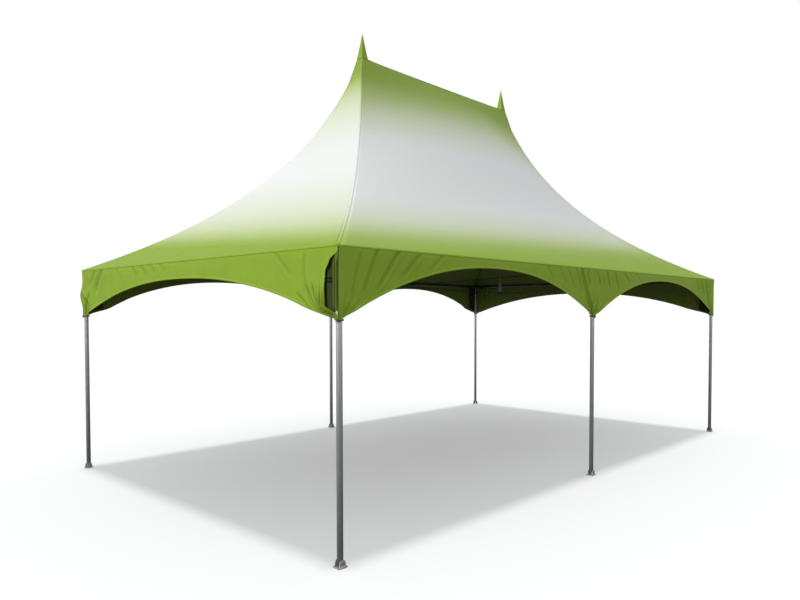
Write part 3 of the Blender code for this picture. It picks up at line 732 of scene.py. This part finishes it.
gable_print = printed_cloth("gable_print", "cut", GABLE_FADES, GABLE_GREEN_PAINTED_SHADE, GABLE_PAINTED_SHADE)
roof_inside = plain_cloth("roof_inside", "cut", INSIDE_GREEN, 0.05)
panel_areas = {}
for name, side, gable, columns in (("front", -1, False, 104), ("back", 1, False, 104),
                                   ("gable_left", -1, True, 72), ("gable_right", 1, True, 72)):
    rows = [inset for inset, drop in EAVE_TURN] + roof_rows()
    drops = [drop for inset, drop in EAVE_TURN] + [0.0] * len(roof_rows())
    half_eave = HALF_WIDTH if gable else HALF_LENGTH
    slope = [0.0]
    for low, high, fall in zip(rows, rows[1:], drops):
        step = skin_point(high, 0.0, gable, side) - skin_point(low, 0.0, gable, side)
        slope.append(slope[-1] + max(step.length, fall / 3))
    panel = bmesh.new()
    bmesh.ops.create_grid(panel, x_segments=columns, y_segments=len(rows) - 1, size=1.0)
    places = {}
    for vert in panel.verts:
        row = round((vert.co.y + 1.0) / 2 * (len(rows) - 1))
        inset = rows[row]
        along = vert.co.x * (half_eave - inset)
        point = skin_point(inset, along, gable, side)
        hip_distance = (half_eave - inset) - abs(along)
        point.z += skin_slack(point, hip_distance, inset) - drops[row]
        vert.co = point
        places[vert] = (along, slope[row])
    outward = Vector((side, 0, 0.6)) if gable else Vector((0, side, 0.6))
    cut_to_cloth(panel, places, outward)
    bmesh.ops.remove_doubles(panel, verts=panel.verts, dist=0.0001)
    area = sum(face.calc_area() for face in panel.faces)
    face_print = gable_print if gable else printed_cloth(name + "_print", "cut", LONG_FADES[name], LONG_GREEN_PAINTED_LIGHT,
                                                         LONG_PAINTED_SHADE)
    skin = add_piece("roof_skin_" + name, panel, [face_print, roof_inside], ["roof_" + name],
                     50)
    give_thickness(skin, CLOTH_THICKNESS)
    ends = "left" if side < 0 else "right"
    panel_areas[name] = area


# Hip and ridge seams: a doubled band of the same printed cloth over each joint of the
# panels, sewn down on both edges, and wider as it runs up on to the crown.
SEAM_HALF_WIDTH = 0.020
SEAM_CROWN_WIDTH = {"front": 0.034, "back": 0.078}
SEAM_LIFT = 0.0006
# Painted shade on the seam bands: darker toward the crown.
SEAM_CROWN_PAINTED_SHADE = (4.78, 4.98, 1.0, 0.80)
STITCH_LENGTH = 0.008


def stitched_cloth(name, cut_map, half_width, fades):
    """Seam band: the print again with a painted shade that darkens it toward the crown, and a row of stitches near
    each edge.
    """
    material = printed_cloth(name, cut_map, fades, 1.0, SEAM_CROWN_PAINTED_SHADE)
    tree = material.node_tree
    shader = tree.nodes["Principled BSDF"]
    printed = shader.inputs["Base Color"].links[0].from_socket
    cut = add_node(tree, "ShaderNodeUVMap", uv_map=cut_map)
    split = add_node(tree, "ShaderNodeSeparateXYZ", {0: cut.outputs[0]})
    off_middle = add_node(tree, "ShaderNodeMath", {0: split.outputs["Y"]}, operation="ABSOLUTE")
    row = add_node(tree, "ShaderNodeMath", {0: off_middle.outputs[0], 1: half_width * 0.82, 2: 0.0012},
                   operation="COMPARE")
    beat = add_node(tree, "ShaderNodeMath", {0: split.outputs["X"], 1: STITCH_LENGTH}, operation="PINGPONG")
    dash = add_node(tree, "ShaderNodeMath", {0: beat.outputs[0], 1: STITCH_LENGTH * 0.4},
                    operation="GREATER_THAN")
    stitch = add_node(tree, "ShaderNodeMath", {0: row.outputs[0], 1: dash.outputs[0]}, operation="MULTIPLY")
    thread = add_node(tree, "ShaderNodeMixRGB", {0: stitch.outputs[0], 1: printed,
                                                 2: (0.60, 0.66, 0.42, 1.0)})
    tree.links.new(thread.outputs[0], shader.inputs["Base Color"])
    return material


seam_prints = {label: stitched_cloth(f"seam_print_{label}", "cut", SEAM_HALF_WIDTH, LONG_FADES[label])
               for label in ("front", "back")}
for end, side_x in (("left", -1), ("right", 1)):
    for label, side_y in (("front", -1), ("back", 1)):
        rows = [-0.0355] + roof_rows()[:-6]
        band = bmesh.new()
        bmesh.ops.create_grid(band, x_segments=6, y_segments=len(rows) - 1, size=1.0)
        places = {}
        run = 0.0
        for vert in sorted(band.verts, key=lambda v: v.co.y):
            row = round((vert.co.y + 1.0) / 2 * (len(rows) - 1))
            inset = rows[row]
            gable = vert.co.x * side_x * side_y > 0
            near_crown = max(0.0, (inset - (HALF_WIDTH - 0.20)) / 0.15) ** 1.2
            wide = SEAM_CROWN_WIDTH[label if gable else "front"]
            width = SEAM_HALF_WIDTH + (wide - SEAM_HALF_WIDTH) * min(1.0, near_crown)
            offset = min(abs(vert.co.x) * width, 0.8 * (HALF_WIDTH - inset))
            half = (HALF_WIDTH if gable else HALF_LENGTH) - inset
            along = (side_y if gable else side_x) * (half - offset)
            base = skin_point(inset, along, gable, side_x if gable else side_y)
            lift = SEAM_LIFT * (1.0 if abs(vert.co.x) < 0.9 else 0.35)
            base.z += lift * 1.4
            base.x += side_x * lift * 0.5
            base.y += side_y * lift * 0.5
            places[vert] = (inset * 1.5, vert.co.x * SEAM_HALF_WIDTH)
            vert.co = base
        cut_to_cloth(band, places, Vector((side_x, side_y, 1.0)))
        seam = add_piece(f"hip_seam_{label}_{end}", band, [seam_prints[label]], (), 60)
        give_thickness(seam, 0.0012, 0)

ridge_band = bmesh.new()
bmesh.ops.create_grid(ridge_band, x_segments=60, y_segments=6, size=1.0)
places = {}
for vert in ridge_band.verts:
    x = vert.co.x * (PEAK_X - CROWN_TOP_HALF_WIDTH - 0.004)
    y = vert.co.y * 0.034
    places[vert] = (x, vert.co.y * SEAM_HALF_WIDTH)
    point = skin_point(HALF_WIDTH - abs(y), x, False, 1 if y > 0 else -1)
    vert.co = (x, y * 1.04, point.z + SEAM_LIFT)
cut_to_cloth(ridge_band, places, Vector((0, 0, 1)))
ridge_seam = add_piece("ridge_seam", ridge_band, [seam_prints["front"]], (), 60)
give_thickness(ridge_seam, 0.0012, 0)


# Valances: green cloth sewn under the eave, cut to an arch in each bay and drawn down to
# the legs, where the cloth is pulled into creases, gathered and tied.
VALANCE_OFFSET = TUBE_RADIUS + SEAT + 0.003
VALANCE_TOP = EAVE_TUBE_HEIGHT + 0.0142
VALANCE_TIP_HEIGHT = 1.935
GABLE_ARCH_DEPTH = 0.19
SIDE_ARCH_DEPTH = 0.10
ARCH_POWER = 2.15
CORNER_SLIT = 0.188
LAP_STAND = 0.0063
CLOTH_HUNG_THICKNESS = 0.0014
WRAP_RADIUS = TUBE_RADIUS + 0.0035
HEM_WIDTH = 0.022
VALANCE_GREEN = paint(144, 175, 52)
DEEPEST_CREASE = 0.030

# A crease runs from a place on the eave to a lower one: distance from the leg and depth at
# both ends, then how far it sinks and how wide it is, in metres.
CREASES = {
    "middle_before": ((0.33, 0.0, 0.010, 0.58, 0.036, 0.015), (0.18, 0.0, 0.115, 0.22, 0.011, 0.012),
                      (0.46, 0.02, 0.30, 0.30, 0.006, 0.024), (0.63, 0.04, 0.46, 0.28, 0.005, 0.026),
                      (0.82, 0.02, 0.66, 0.22, 0.005, 0.024), (1.08, 0.02, 0.95, 0.17, 0.004, 0.024)),
    "middle_after": ((0.05, 0.0, 0.14, 0.20, 0.006, 0.014), (0.31, 0.01, 0.385, 0.23, 0.008, 0.017),
                     (0.20, 0.08, 0.24, 0.20, 0.003, 0.018), (0.50, 0.0, 0.63, 0.25, 0.007, 0.020),
                     (0.75, 0.01, 0.93, 0.14, 0.006, 0.018), (0.10, 0.34, 0.02, 0.56, 0.008, 0.012),
                     (1.09, 0.0, 1.22, 0.10, 0.004, 0.018)),
    "corner_near": ((0.64, 0.0, 0.38, 0.34, 0.010, 0.020), (0.90, 0.01, 0.66, 0.24, 0.008, 0.020),
                    (0.39, 0.0, 0.22, 0.38, 0.010, 0.018), (0.20, 0.05, 0.10, 0.40, 0.007, 0.014),
                    (1.20, 0.01, 1.02, 0.16, 0.006, 0.020)),
    "corner_gather": ((0.30, 0.32, 0.04, 0.57, 0.016, 0.012), (0.20, 0.30, 0.03, 0.555, 0.016, 0.010),
                      (0.44, 0.38, 0.07, 0.585, 0.012, 0.013), (0.80, 0.02, 0.55, 0.22, 0.006, 0.022),
                      (0.38, 0.06, 0.30, 0.36, 0.006, 0.022)),
    "corner_far": ((0.60, 0.0, 0.35, 0.29, 0.010, 0.050), (0.40, 0.01, 0.18, 0.21, 0.008, 0.036),
                   (0.01, 0.30, 0.17, 0.46, 0.014, 0.026), (0.20, 0.30, 0.03, 0.55, 0.012, 0.024),
                   (0.10, 0.10, 0.06, 0.28, 0.009, 0.018), (1.00, 0.0, 1.12, 0.14, 0.004, 0.026),
                   (1.42, 0.0, 1.56, 0.13, 0.006, 0.026), (1.63, 0.0, 1.78, 0.12, 0.006, 0.026),
                   (1.86, 0.0, 2.00, 0.11, 0.005, 0.026), (2.08, 0.0, 2.22, 0.10, 0.005, 0.026)),
    "corner_end": ((0.335, 0.0, 0.09, 0.57, 0.030, 0.015), (0.20, 0.02, 0.12, 0.30, 0.011, 0.012),
                   (0.56, 0.01, 0.38, 0.27, 0.009, 0.018), (0.76, 0.0, 0.62, 0.20, 0.007, 0.018)),
}

# Folds that fan out of a tied tip: how deep they are, and how many there are in a half turn.
TIP_FOLDS = {"middle_before": (0.005, 11), "middle_after": (0.006, 12), "corner_near": (0.004, 10),
             "corner_gather": (0.016, 12), "corner_far": (0.007, 11), "corner_end": (0.004, 10)}
TIP_GATHER_REACH = 0.14


def ease(low, high, value):
    """A smooth step from 0 to 1."""
    share = min(1.0, max(0.0, (value - low) / (high - low)))
    return share * share * (3 - 2 * share)


def crease_push(along, depth, creases):
    """How far the cloth stands in or out where creases cross it, and how much painted shade darkens it there."""
    push = 0.0
    dull_and_shade = 0.0
    for top_along, top_depth, low_along, low_depth, sink, width in creases:
        run_along = low_along - top_along
        run_down = low_depth - top_depth
        length = math.hypot(run_along, run_down)
        aside = ((along - top_along) * run_down - (depth - top_depth) * run_along) / length
        if abs(aside) > 5 * width:
            continue
        reach = ((along - top_along) * run_along + (depth - top_depth) * run_down) / length ** 2
        fade = ease(-0.12, 0.10, reach) * (1.0 - ease(0.80, 1.08, reach))
        groove = fade * math.exp(-(aside / width) ** 2)
        push += sink * (0.55 * fade * math.exp(-((aside - 1.6 * width) / width) ** 2) - groove)
        # Painted shade follows the groove of each crease.
        dull_and_shade += groove * sink / DEEPEST_CREASE
    return push, dull_and_shade


VALANCES = {
    "front_left": dict(gable=False, side=-1, start=-HALF_LENGTH, stop=0.0, low="corner_near",
                       high="middle_before", slit=(False, False), flap=(True, False)),
    "front_right": dict(gable=False, side=-1, start=0.0, stop=HALF_LENGTH, low="middle_after",
                        high="corner_end", slit=(False, False), flap=(False, True)),
    "back_left": dict(gable=False, side=1, start=-HALF_LENGTH, stop=0.0, low="corner_gather",
                      high="middle_before", slit=(True, False), flap=(False, False)),
    "back_right": dict(gable=False, side=1, start=0.0, stop=HALF_LENGTH, low="middle_after",
                       high="corner_gather", slit=(False, True), flap=(False, False)),
    "gable_left": dict(gable=True, side=-1, start=-HALF_WIDTH, stop=HALF_WIDTH, low="corner_gather",
                       high="corner_far", slit=(True, False), flap=(False, True)),
    "gable_right": dict(gable=True, side=1, start=-HALF_WIDTH, stop=HALF_WIDTH, low="corner_gather",
                        high="corner_end", slit=(True, False), flap=(False, True)),
}


def edge_depth(spec, place):
    """Depth of the arched lower edge below the top of the valance."""
    crown = (GABLE_ARCH_DEPTH if spec["gable"] else SIDE_ARCH_DEPTH) - (EAVE_HEIGHT - VALANCE_TOP)
    return crown + (VALANCE_TOP - VALANCE_TIP_HEIGHT - crown) * abs(place) ** ARCH_POWER


def slit_width(depth):
    """How far the edge beside a corner slit bows away from the corner."""
    opened = 0.56 * ease(0.04, 0.115, depth) + 0.31 * ease(0.10, 0.21, depth) + 0.13 * ease(0.18, 0.42, depth)
    return CORNER_SLIT * opened * (1.0 - ease(0.46, 0.565, depth))


def tip_folds(along, depth, folds):
    """Small folds that spread from the tie, and the painted shade in the hollows between them and over the gathered
    tip.
    """
    deep, count = folds
    below = VALANCE_TOP - VALANCE_TIP_HEIGHT - depth + 0.02
    reach = math.hypot(along, below)
    if reach > 0.45:
        return 0.0, 0.0
    turn = math.atan2(abs(along), below)
    wander = noise.noise(Vector((turn * 2.0, reach * 3.0, count)))
    wave = math.cos(2 * count * turn + 2.5 * wander) * ease(0.0, 0.05, reach) * (1.0 - ease(0.12, 0.42, reach))
    gathered = math.exp(-(reach / TIP_GATHER_REACH) ** 2)
    return deep * wave, deep / DEEPEST_CREASE * (0.9 * max(0.0, -wave) + 1.1 * gathered)


def valance_point(spec, place, depth, lift=0.0):
    """A point of the outer face, with its belly, creases and gathered tips, and the painted shade of its creases."""
    start, stop = spec["start"], spec["stop"]
    corner = (abs(start) > 1.0, abs(stop) > 1.0)
    run_start = start - (VALANCE_OFFSET - 0.0005 if corner[0] else 0.0)
    run_stop = stop + (VALANCE_OFFSET - 0.0005 if corner[1] else 0.0)
    along = (run_start + run_stop) / 2 + place * (run_stop - run_start) / 2
    relief = 0.003 * noise.noise(Vector((along * 3.1, depth * 2.2, 7.0 * spec["side"])))
    relief += 0.010 * (1.0 - place * place) * math.sin(math.pi * min(1.0, depth / 0.4))
    crease_shade = 0.0
    for key, from_tip in (("low", along - start), ("high", stop - along)):
        for push, dull_and_shade in (crease_push(from_tip, depth, CREASES[spec[key]]),
                           tip_folds(from_tip, depth, TIP_FOLDS[spec[key]])):
            relief += push
            crease_shade += dull_and_shade
    out = VALANCE_OFFSET + lift + LAP_STAND * (1.0 - ease(0.006, 0.24, depth)) + relief * ease(0.006, 0.045, depth)
    for index, leg in enumerate((start, stop)):
        inward = 1 if index == 0 else -1
        from_leg = (along - leg) * inward
        if spec["slit"][index]:
            along += inward * slit_width(depth) * math.exp(-max(0.0, from_leg) / 0.35)
        if index == 1 and spec["high"] == "corner_far":
            swell = math.exp(-((depth - 0.33) / 0.11) ** 2) * math.exp(-(max(0.0, from_leg) / 0.14) ** 2)
            along += 0.034 * swell
            out += 0.022 * swell
        away = min(abs(along - leg), WRAP_RADIUS * 0.96)
        wrapped = math.sqrt(WRAP_RADIUS ** 2 - away ** 2) + lift
        hold = ease(0.44, 0.575, depth) * (1.0 - ease(0.05, 0.16, abs(along - leg)))
        out += (max(wrapped, 0.004) - out) * hold
    z = VALANCE_TOP - depth
    across = (HALF_LENGTH if spec["gable"] else HALF_WIDTH) + out
    side = spec["side"]
    point = Vector((side * across, along, z)) if spec["gable"] else Vector((along, side * across, z))
    return point, min(1.0, crease_shade)


def closer_at_ends(place):
    """Crowd the columns of a cloth toward its two legs, where the creases are."""
    return 0.30 * place + 0.70 * (1.5 * place - 0.5 * place ** 3)


# The outer cloth and its hem carry painted shade from each vertex's crease value.
valance_cloth = plain_cloth("valance_cloth", "cut", VALANCE_GREEN, 0.10, True)
# The valances' inner face is painted lighter than the roof's inside: painted light for light coming through the
# cloth.
valance_inside_painted_light = plain_cloth("valance_inside_painted_light", "cut", tuple(c * 1.4 for c in INSIDE_GREEN), 0.05)
hem_cloth = plain_cloth("hem_cloth", "cut", tuple(c * 1.06 for c in VALANCE_GREEN), 0.08, True)
for name, spec in VALANCES.items():
    outward = Vector((spec["side"], 0, 0)) if spec["gable"] else Vector((0, spec["side"], 0))
    columns = 340 if spec["gable"] else 300
    rows = 56
    cloth = bmesh.new()
    crease = cloth.verts.layers.float.new("crease")
    bmesh.ops.create_grid(cloth, x_segments=columns, y_segments=rows, size=1.0)
    places = {}
    for vert in cloth.verts:
        place = closer_at_ends(vert.co.x)
        depth = (1.0 - vert.co.y) / 2 * edge_depth(spec, place)
        vert.co, vert[crease] = valance_point(spec, place, depth)
        places[vert] = (place * (spec["stop"] - spec["start"]) / 2, depth)
    cut_to_cloth(cloth, places, outward)
    area = sum(face.calc_area() for face in cloth.faces)
    hem = bmesh.new()
    hem_crease = hem.verts.layers.float.new("crease")
    bmesh.ops.create_grid(hem, x_segments=columns, y_segments=3, size=1.0)
    hem_places = {}
    for vert in hem.verts:
        place = closer_at_ends(vert.co.x)
        bottom = edge_depth(spec, place) + 0.0008
        rise = (vert.co.y + 1.0) / 2 * HEM_WIDTH
        lift = 0.0016 if abs(vert.co.y) < 0.9 else 0.0006
        vert.co, vert[hem_crease] = valance_point(spec, place, bottom - rise, lift)
        hem_places[vert] = (place * (spec["stop"] - spec["start"]) / 2, rise)
    cut_to_cloth(hem, hem_places, outward)
    hung = add_piece("valance_cloth_" + name, cloth, [valance_cloth, valance_inside_painted_light], ["valance_" + name],
                     70)
    give_thickness(hung, CLOTH_HUNG_THICKNESS)
    edging = add_piece("valance_hem_" + name, hem, [hem_cloth], (), 70)
    give_thickness(edging, 0.001, 0)
    depth = VALANCE_TOP - VALANCE_TIP_HEIGHT


# Corner flaps: where a valance turns a corner its end is folded back round the leg in narrow
# pleats, reverse side out, inside the slit of the next valance. Behind it hang a lining painted
# dark as shade, and two near-black strips painted as the shadows above and below a strap.
FLAP_DEPTH = (0.025, 0.596)
FLAP_SHARES = {"front_left": 0.42, "front_right": 1.30, "back_left": 0.50, "back_right": 1.30}
FLAP_OUT = 0.0315
FLAP_PLEAT = 0.030
LINING_OUT = 0.016
LINING_CLEARANCE = 0.02
STRAP_HEIGHT = 2.272
STRAP_WIDTH = 0.013
STRAP_SPACING = 0.027


def corner_strip(name, leg, along_gable, shape, columns, materials, thickness):
    """A narrow hanging strip at a corner; shape gives its reach, offset, height and painted shade."""
    x, y = LEGS[leg]
    out_x, out_y = math.copysign(1.0, x), math.copysign(1.0, y)
    strip = bmesh.new()
    crease = strip.verts.layers.float.new("crease")
    bmesh.ops.create_grid(strip, x_segments=columns, y_segments=48, size=1.0)
    places = {}
    for vert in strip.verts:
        across = (vert.co.x + 1.0) / 2
        down = (1.0 - vert.co.y) / 2
        reach, out, z, vert[crease] = shape(across, down)
        places[vert] = (reach, z)
        if along_gable:
            vert.co = (x + out_x * out, y + out_y * (VALANCE_OFFSET - 0.001 - reach), z)
        else:
            vert.co = (x + out_x * (VALANCE_OFFSET - 0.001 - reach), y + out_y * out, z)
    cut_to_cloth(strip, places, Vector((out_x, 0, 0)) if along_gable else Vector((0, out_y, 0)))
    piece = add_piece(name, strip, materials, (), 70)
    give_thickness(piece, thickness)
    return piece


def flap_shape(share):
    """Pleats from the corner inward, sinking past the leg so that the next cloth covers them, with painted shade in
    the pleat hollows, along the fold and low down.
    """
    def shape(across, down):
        depth = FLAP_DEPTH[0] + down * (FLAP_DEPTH[1] - FLAP_DEPTH[0])
        reach = max(0.012, slit_width(depth + 0.02) * share) * across
        wave = math.cos(2 * math.pi * reach / FLAP_PLEAT + 0.6)
        settled = ease(0.05, 0.16, depth)
        sunk = 0.014 * ease(0.060, 0.080, reach)
        dull_and_shade = settled * (0.45 - 0.45 * wave) + 0.5 * (1.0 - ease(0.0, 0.006, reach)) + 0.5 * ease(0.50, 0.57, depth)
        return reach, FLAP_OUT + 0.0055 * wave * settled - sunk, VALANCE_TOP - depth, min(1.0, dull_and_shade)
    return shape


def lining_shape(along_gable):
    """The lining hangs plain behind the slit, painted dark as shade, and ends above the arch of the valance."""
    half_bay = HALF_WIDTH if along_gable else HALF_LENGTH / 2

    def shape(across, down):
        reach = 0.058 + 0.165 * across
        sway = 0.006 * math.sin(3.0 * math.pi * across + 4.0 * down)
        deepest = edge_depth({"gable": along_gable}, 1.0 - reach / half_bay) - LINING_CLEARANCE
        z = VALANCE_TOP - 0.03 - (deepest - 0.03) * down
        return reach, LINING_OUT - 0.020 * across + sway, z, 0.0
    return shape


def strap_shape(height):
    """A strip runs level behind the slit, in front of the lining: one of the painted shadows above and below a
    strap.
    """
    def shape(across, down):
        z = height + (0.5 - down) * STRAP_WIDTH
        return 0.050 + 0.16 * across, LINING_OUT + 0.010 - 0.016 * across, z, 0.0
    return shape


flap_cloth = plain_cloth("flap_cloth", "cut", (0.135, 0.190, 0.024), 0.06, True)
# Painted shade: the lining is far darker than the cloth's reverse face, and the strap strips are near black as the
# strap's shadows.
lining_painted_shade = plain_cloth("lining_painted_shade", "cut", (0.040, 0.053, 0.008), 0.05)
strap_painted_shadow = plain_cloth("strap_painted_shadow", "cut", (0.012, 0.015, 0.005), 0.05)
for leg, along_gable in (("front_left", True), ("front_right", True), ("back_left", False), ("back_right", False)):
    corner_strip("corner_flap_" + leg, leg, along_gable, flap_shape(FLAP_SHARES[leg]), 40,
                 [flap_cloth, valance_inside_painted_light], 0.001)
    corner_strip("corner_lining_" + leg, leg, along_gable, lining_shape(along_gable), 20,
                 [lining_painted_shade, lining_painted_shade], 0.001)
    for label, offset in (("upper", STRAP_SPACING / 2), ("lower", -STRAP_SPACING / 2)):
        corner_strip(f"corner_strap_shadow_{label}_{leg}", leg, along_gable, strap_shape(STRAP_HEIGHT + offset), 10,
                     [strap_painted_shadow, strap_painted_shadow], 0.002)


# Ties: a flat cord wound twice round each gathered tip and leg, knotted, with short ends.
TIE_HEIGHT = 1.952
TIE_RADIUS = 0.0038
TIE_LONG_SIDE = 1


def tube_along(points, radius, sides=2, closed=False):
    """A bmesh tube that follows points."""
    curve = bpy.data.curves.new("route", "CURVE")
    curve.dimensions = "3D"
    curve.bevel_depth = radius
    curve.bevel_resolution = sides
    curve.use_fill_caps = not closed
    line = curve.splines.new("POLY")
    line.points.add(len(points) - 1)
    for spot, place in zip(line.points, points):
        spot.co = (*place, 1.0)
    line.use_cyclic_u = closed
    guide = bpy.data.objects.new("route", curve)
    bpy.context.scene.collection.objects.link(guide)
    bpy.context.view_layer.update()
    mesh = bpy.data.meshes.new_from_object(guide.evaluated_get(bpy.context.evaluated_depsgraph_get()))
    bm = bmesh.new()
    bm.from_mesh(mesh)
    bmesh.ops.remove_doubles(bm, verts=bm.verts, dist=0.00001)
    bpy.data.objects.remove(guide, do_unlink=True)
    bpy.data.curves.remove(curve)
    bpy.data.meshes.remove(mesh)
    bmesh.ops.recalc_face_normals(bm, faces=bm.faces)
    return bm


def tie_finish():
    """Braided cord in the valance's green, with painted shade between the bumps of the braid."""
    material, tree, shader = new_material("tie_cord", (0.16, 0.24, 0.03), 0.7)
    place = add_node(tree, "ShaderNodeTexCoord")
    braid = add_node(tree, "ShaderNodeTexVoronoi", {"Vector": place.outputs["Object"], "Scale": 520.0})
    bump = add_node(tree, "ShaderNodeBump", {"Height": braid.outputs["Distance"], "Strength": 0.6,
                                             "Distance": 0.001})
    tree.links.new(bump.outputs[0], shader.inputs["Normal"])
    shade = add_node(tree, "ShaderNodeValToRGB", {"Fac": braid.outputs["Distance"]})
    shade.color_ramp.elements[0].color = (0.20, 0.29, 0.035, 1.0)
    shade.color_ramp.elements[1].color = (0.07, 0.10, 0.016, 1.0)
    tree.links.new(shade.outputs["Color"], shader.inputs["Base Color"])
    return material


tie_cord = tie_finish()
for name, (x, y) in LEGS.items():
    facing = math.atan2(y, x) if x else math.copysign(math.pi / 2, y)
    ring = WRAP_RADIUS + TIE_RADIUS + 0.0015
    turns = [Vector((x + ring * math.cos(facing + a), y + ring * math.sin(facing + a),
                     TIE_HEIGHT - 0.006 + 0.0085 * a / (2 * math.pi)))
             for a in [2 * math.pi * 2 * step / 64 for step in range(65)]]
    aim = Vector((math.cos(facing), math.sin(facing), 0.0))
    beside = Vector((-aim.y, aim.x, 0.0))
    knot_at = Vector((x, y, TIE_HEIGHT + 0.002)) + aim * (ring + TIE_RADIUS)
    knot = [knot_at + beside * 0.009 * math.sin(2 * a) + Vector((0, 0, 1)) * 0.008 * math.sin(3 * a)
            + aim * 0.004 * math.cos(3 * a) for a in [2 * math.pi * step / 36 for step in range(36)]]
    tie = tube_along(turns, TIE_RADIUS)
    parts = [tube_along(knot, TIE_RADIUS * 0.8, 2, True)]
    for side, drop in ((-1, 0.034), (1, 0.026)):
        spread = 0.040 if name == "front_left" and side == TIE_LONG_SIDE else 0.008
        ends = [knot_at + beside * side * (0.006 + spread * t) + aim * 0.003 * math.sin(math.pi * t)
                + Vector((0, 0, spread * 0.5 * t - drop * t * t)) for t in [step / 8 for step in range(9)]]
        parts.append(tube_along(ends, TIE_RADIUS * 0.7))
    for part in parts:
        scrap = bpy.data.meshes.new("part")
        part.to_mesh(scrap)
        part.free()
        tie.from_mesh(scrap)
        bpy.data.meshes.remove(scrap)
    add_piece("tip_tie_" + name, tie, [tie_cord], (), 60)


# Spires: a slender four-sided cap of the green cloth over each mast head, sewn up its four
# edges, with a short skirt down over the crown and an eyelet for its lashing on each face.
TIP_HEIGHT = 5.578
SPIRE_FOOT = RIDGE_HEIGHT + 0.001
SPIRE_FLARE = ((-0.016, 0.0515), (-0.006, 0.0500), (0.006, 0.0480), (0.055, 0.0385), (0.115, 0.0295),
               (0.160, 0.0225), (0.205, 0.0155), (0.270, 0.0070), (0.294, 0.0042), (0.300, 0.0020))
SPIRE_HOLLOW = 0.04
SPIRE_SEAM_RADIUS = 0.0011
EYELET_RADIUS = 0.0042
SPIRE_SIDES = 32
spire_cloth = plain_cloth("spire_cloth", "cut", paint(142, 170, 62), 0.08)
eyelet_steel = steel_finish("eyelet_steel", (0.10, 0.10, 0.09), (0.30, 0.30, 0.28), 0.9)
for end, peak in (("left", -PEAK_X), ("right", PEAK_X)):
    spire = bmesh.new()
    ring = bmesh.ops.create_circle(spire, cap_ends=False, segments=SPIRE_SIDES, radius=1.0)
    rim = list({edge for vert in ring["verts"] for edge in vert.link_edges})
    for level in range(1, len(SPIRE_FLARE)):
        made = bmesh.ops.extrude_edge_only(spire, edges=rim)["geom"]
        bmesh.ops.translate(spire, vec=(0.0, 0.0, 1.0),
                            verts=[item for item in made if isinstance(item, bmesh.types.BMVert)])
        rim = [edge for edge in spire.edges if min(vert.co.z for vert in edge.verts) > level - 0.5]
    bmesh.ops.contextual_create(spire, geom=rim)
    places = {}
    for vert in spire.verts:
        height, half = SPIRE_FLARE[round(vert.co.z)]
        largest = max(abs(vert.co.x), abs(vert.co.y))
        square = Vector((vert.co.x / largest, vert.co.y / largest, 0.0))
        from_corner = 1.0 - min(abs(square.x), abs(square.y)) ** 2
        hollow = 1.0 - SPIRE_HOLLOW * from_corner * ease(-0.004, 0.02, height) * (1.0 - ease(0.25, 0.3, height))
        places[vert] = (math.atan2(square.y, square.x) * half, height)
        vert.co = (peak + square.x * half * hollow, square.y * half * hollow, SPIRE_FOOT + height)
    cut = spire.loops.layers.uv.new("cut")
    for face in spire.faces:
        for loop in face.loops:
            loop[cut].uv = places[loop.vert]
    bmesh.ops.recalc_face_normals(spire, faces=spire.faces)
    cap = add_piece("spire_cap_" + end, spire, [spire_cloth], ["spire_" + end], 35)
    give_thickness(cap, 0.0014, 0)
    seams = bmesh.new()
    eyelets = bmesh.new()
    for sx in (-1, 1):
        for sy in (-1, 1):
            for (low, low_half), (high, high_half) in zip(SPIRE_FLARE[2:], SPIRE_FLARE[3:]):
                add_rod(seams, (peak + sx * low_half, sy * low_half, SPIRE_FOOT + low),
                        (peak + sx * high_half, sy * high_half, SPIRE_FOOT + high), SPIRE_SEAM_RADIUS, 8)
            hole = Vector((peak + sx * 0.034, sy * 0.0462, SPIRE_FOOT + 0.014))
            weld_ring(eyelets, hole, (0, sy, 0), EYELET_RADIUS, 0.0010)
            add_rod(eyelets, hole - Vector((0, sy * 0.001, 0)), hole + Vector((0, sy * 0.0006, 0)),
                    EYELET_RADIUS, 16)
    seams.loops.layers.uv.new("cut")
    add_piece("spire_seams_" + end, seams, [spire_cloth], (), 60)
    bmesh.ops.recalc_face_normals(eyelets, faces=eyelets.faces)
    add_piece("spire_eyelets_" + end, eyelets, [eyelet_steel], (), 40)
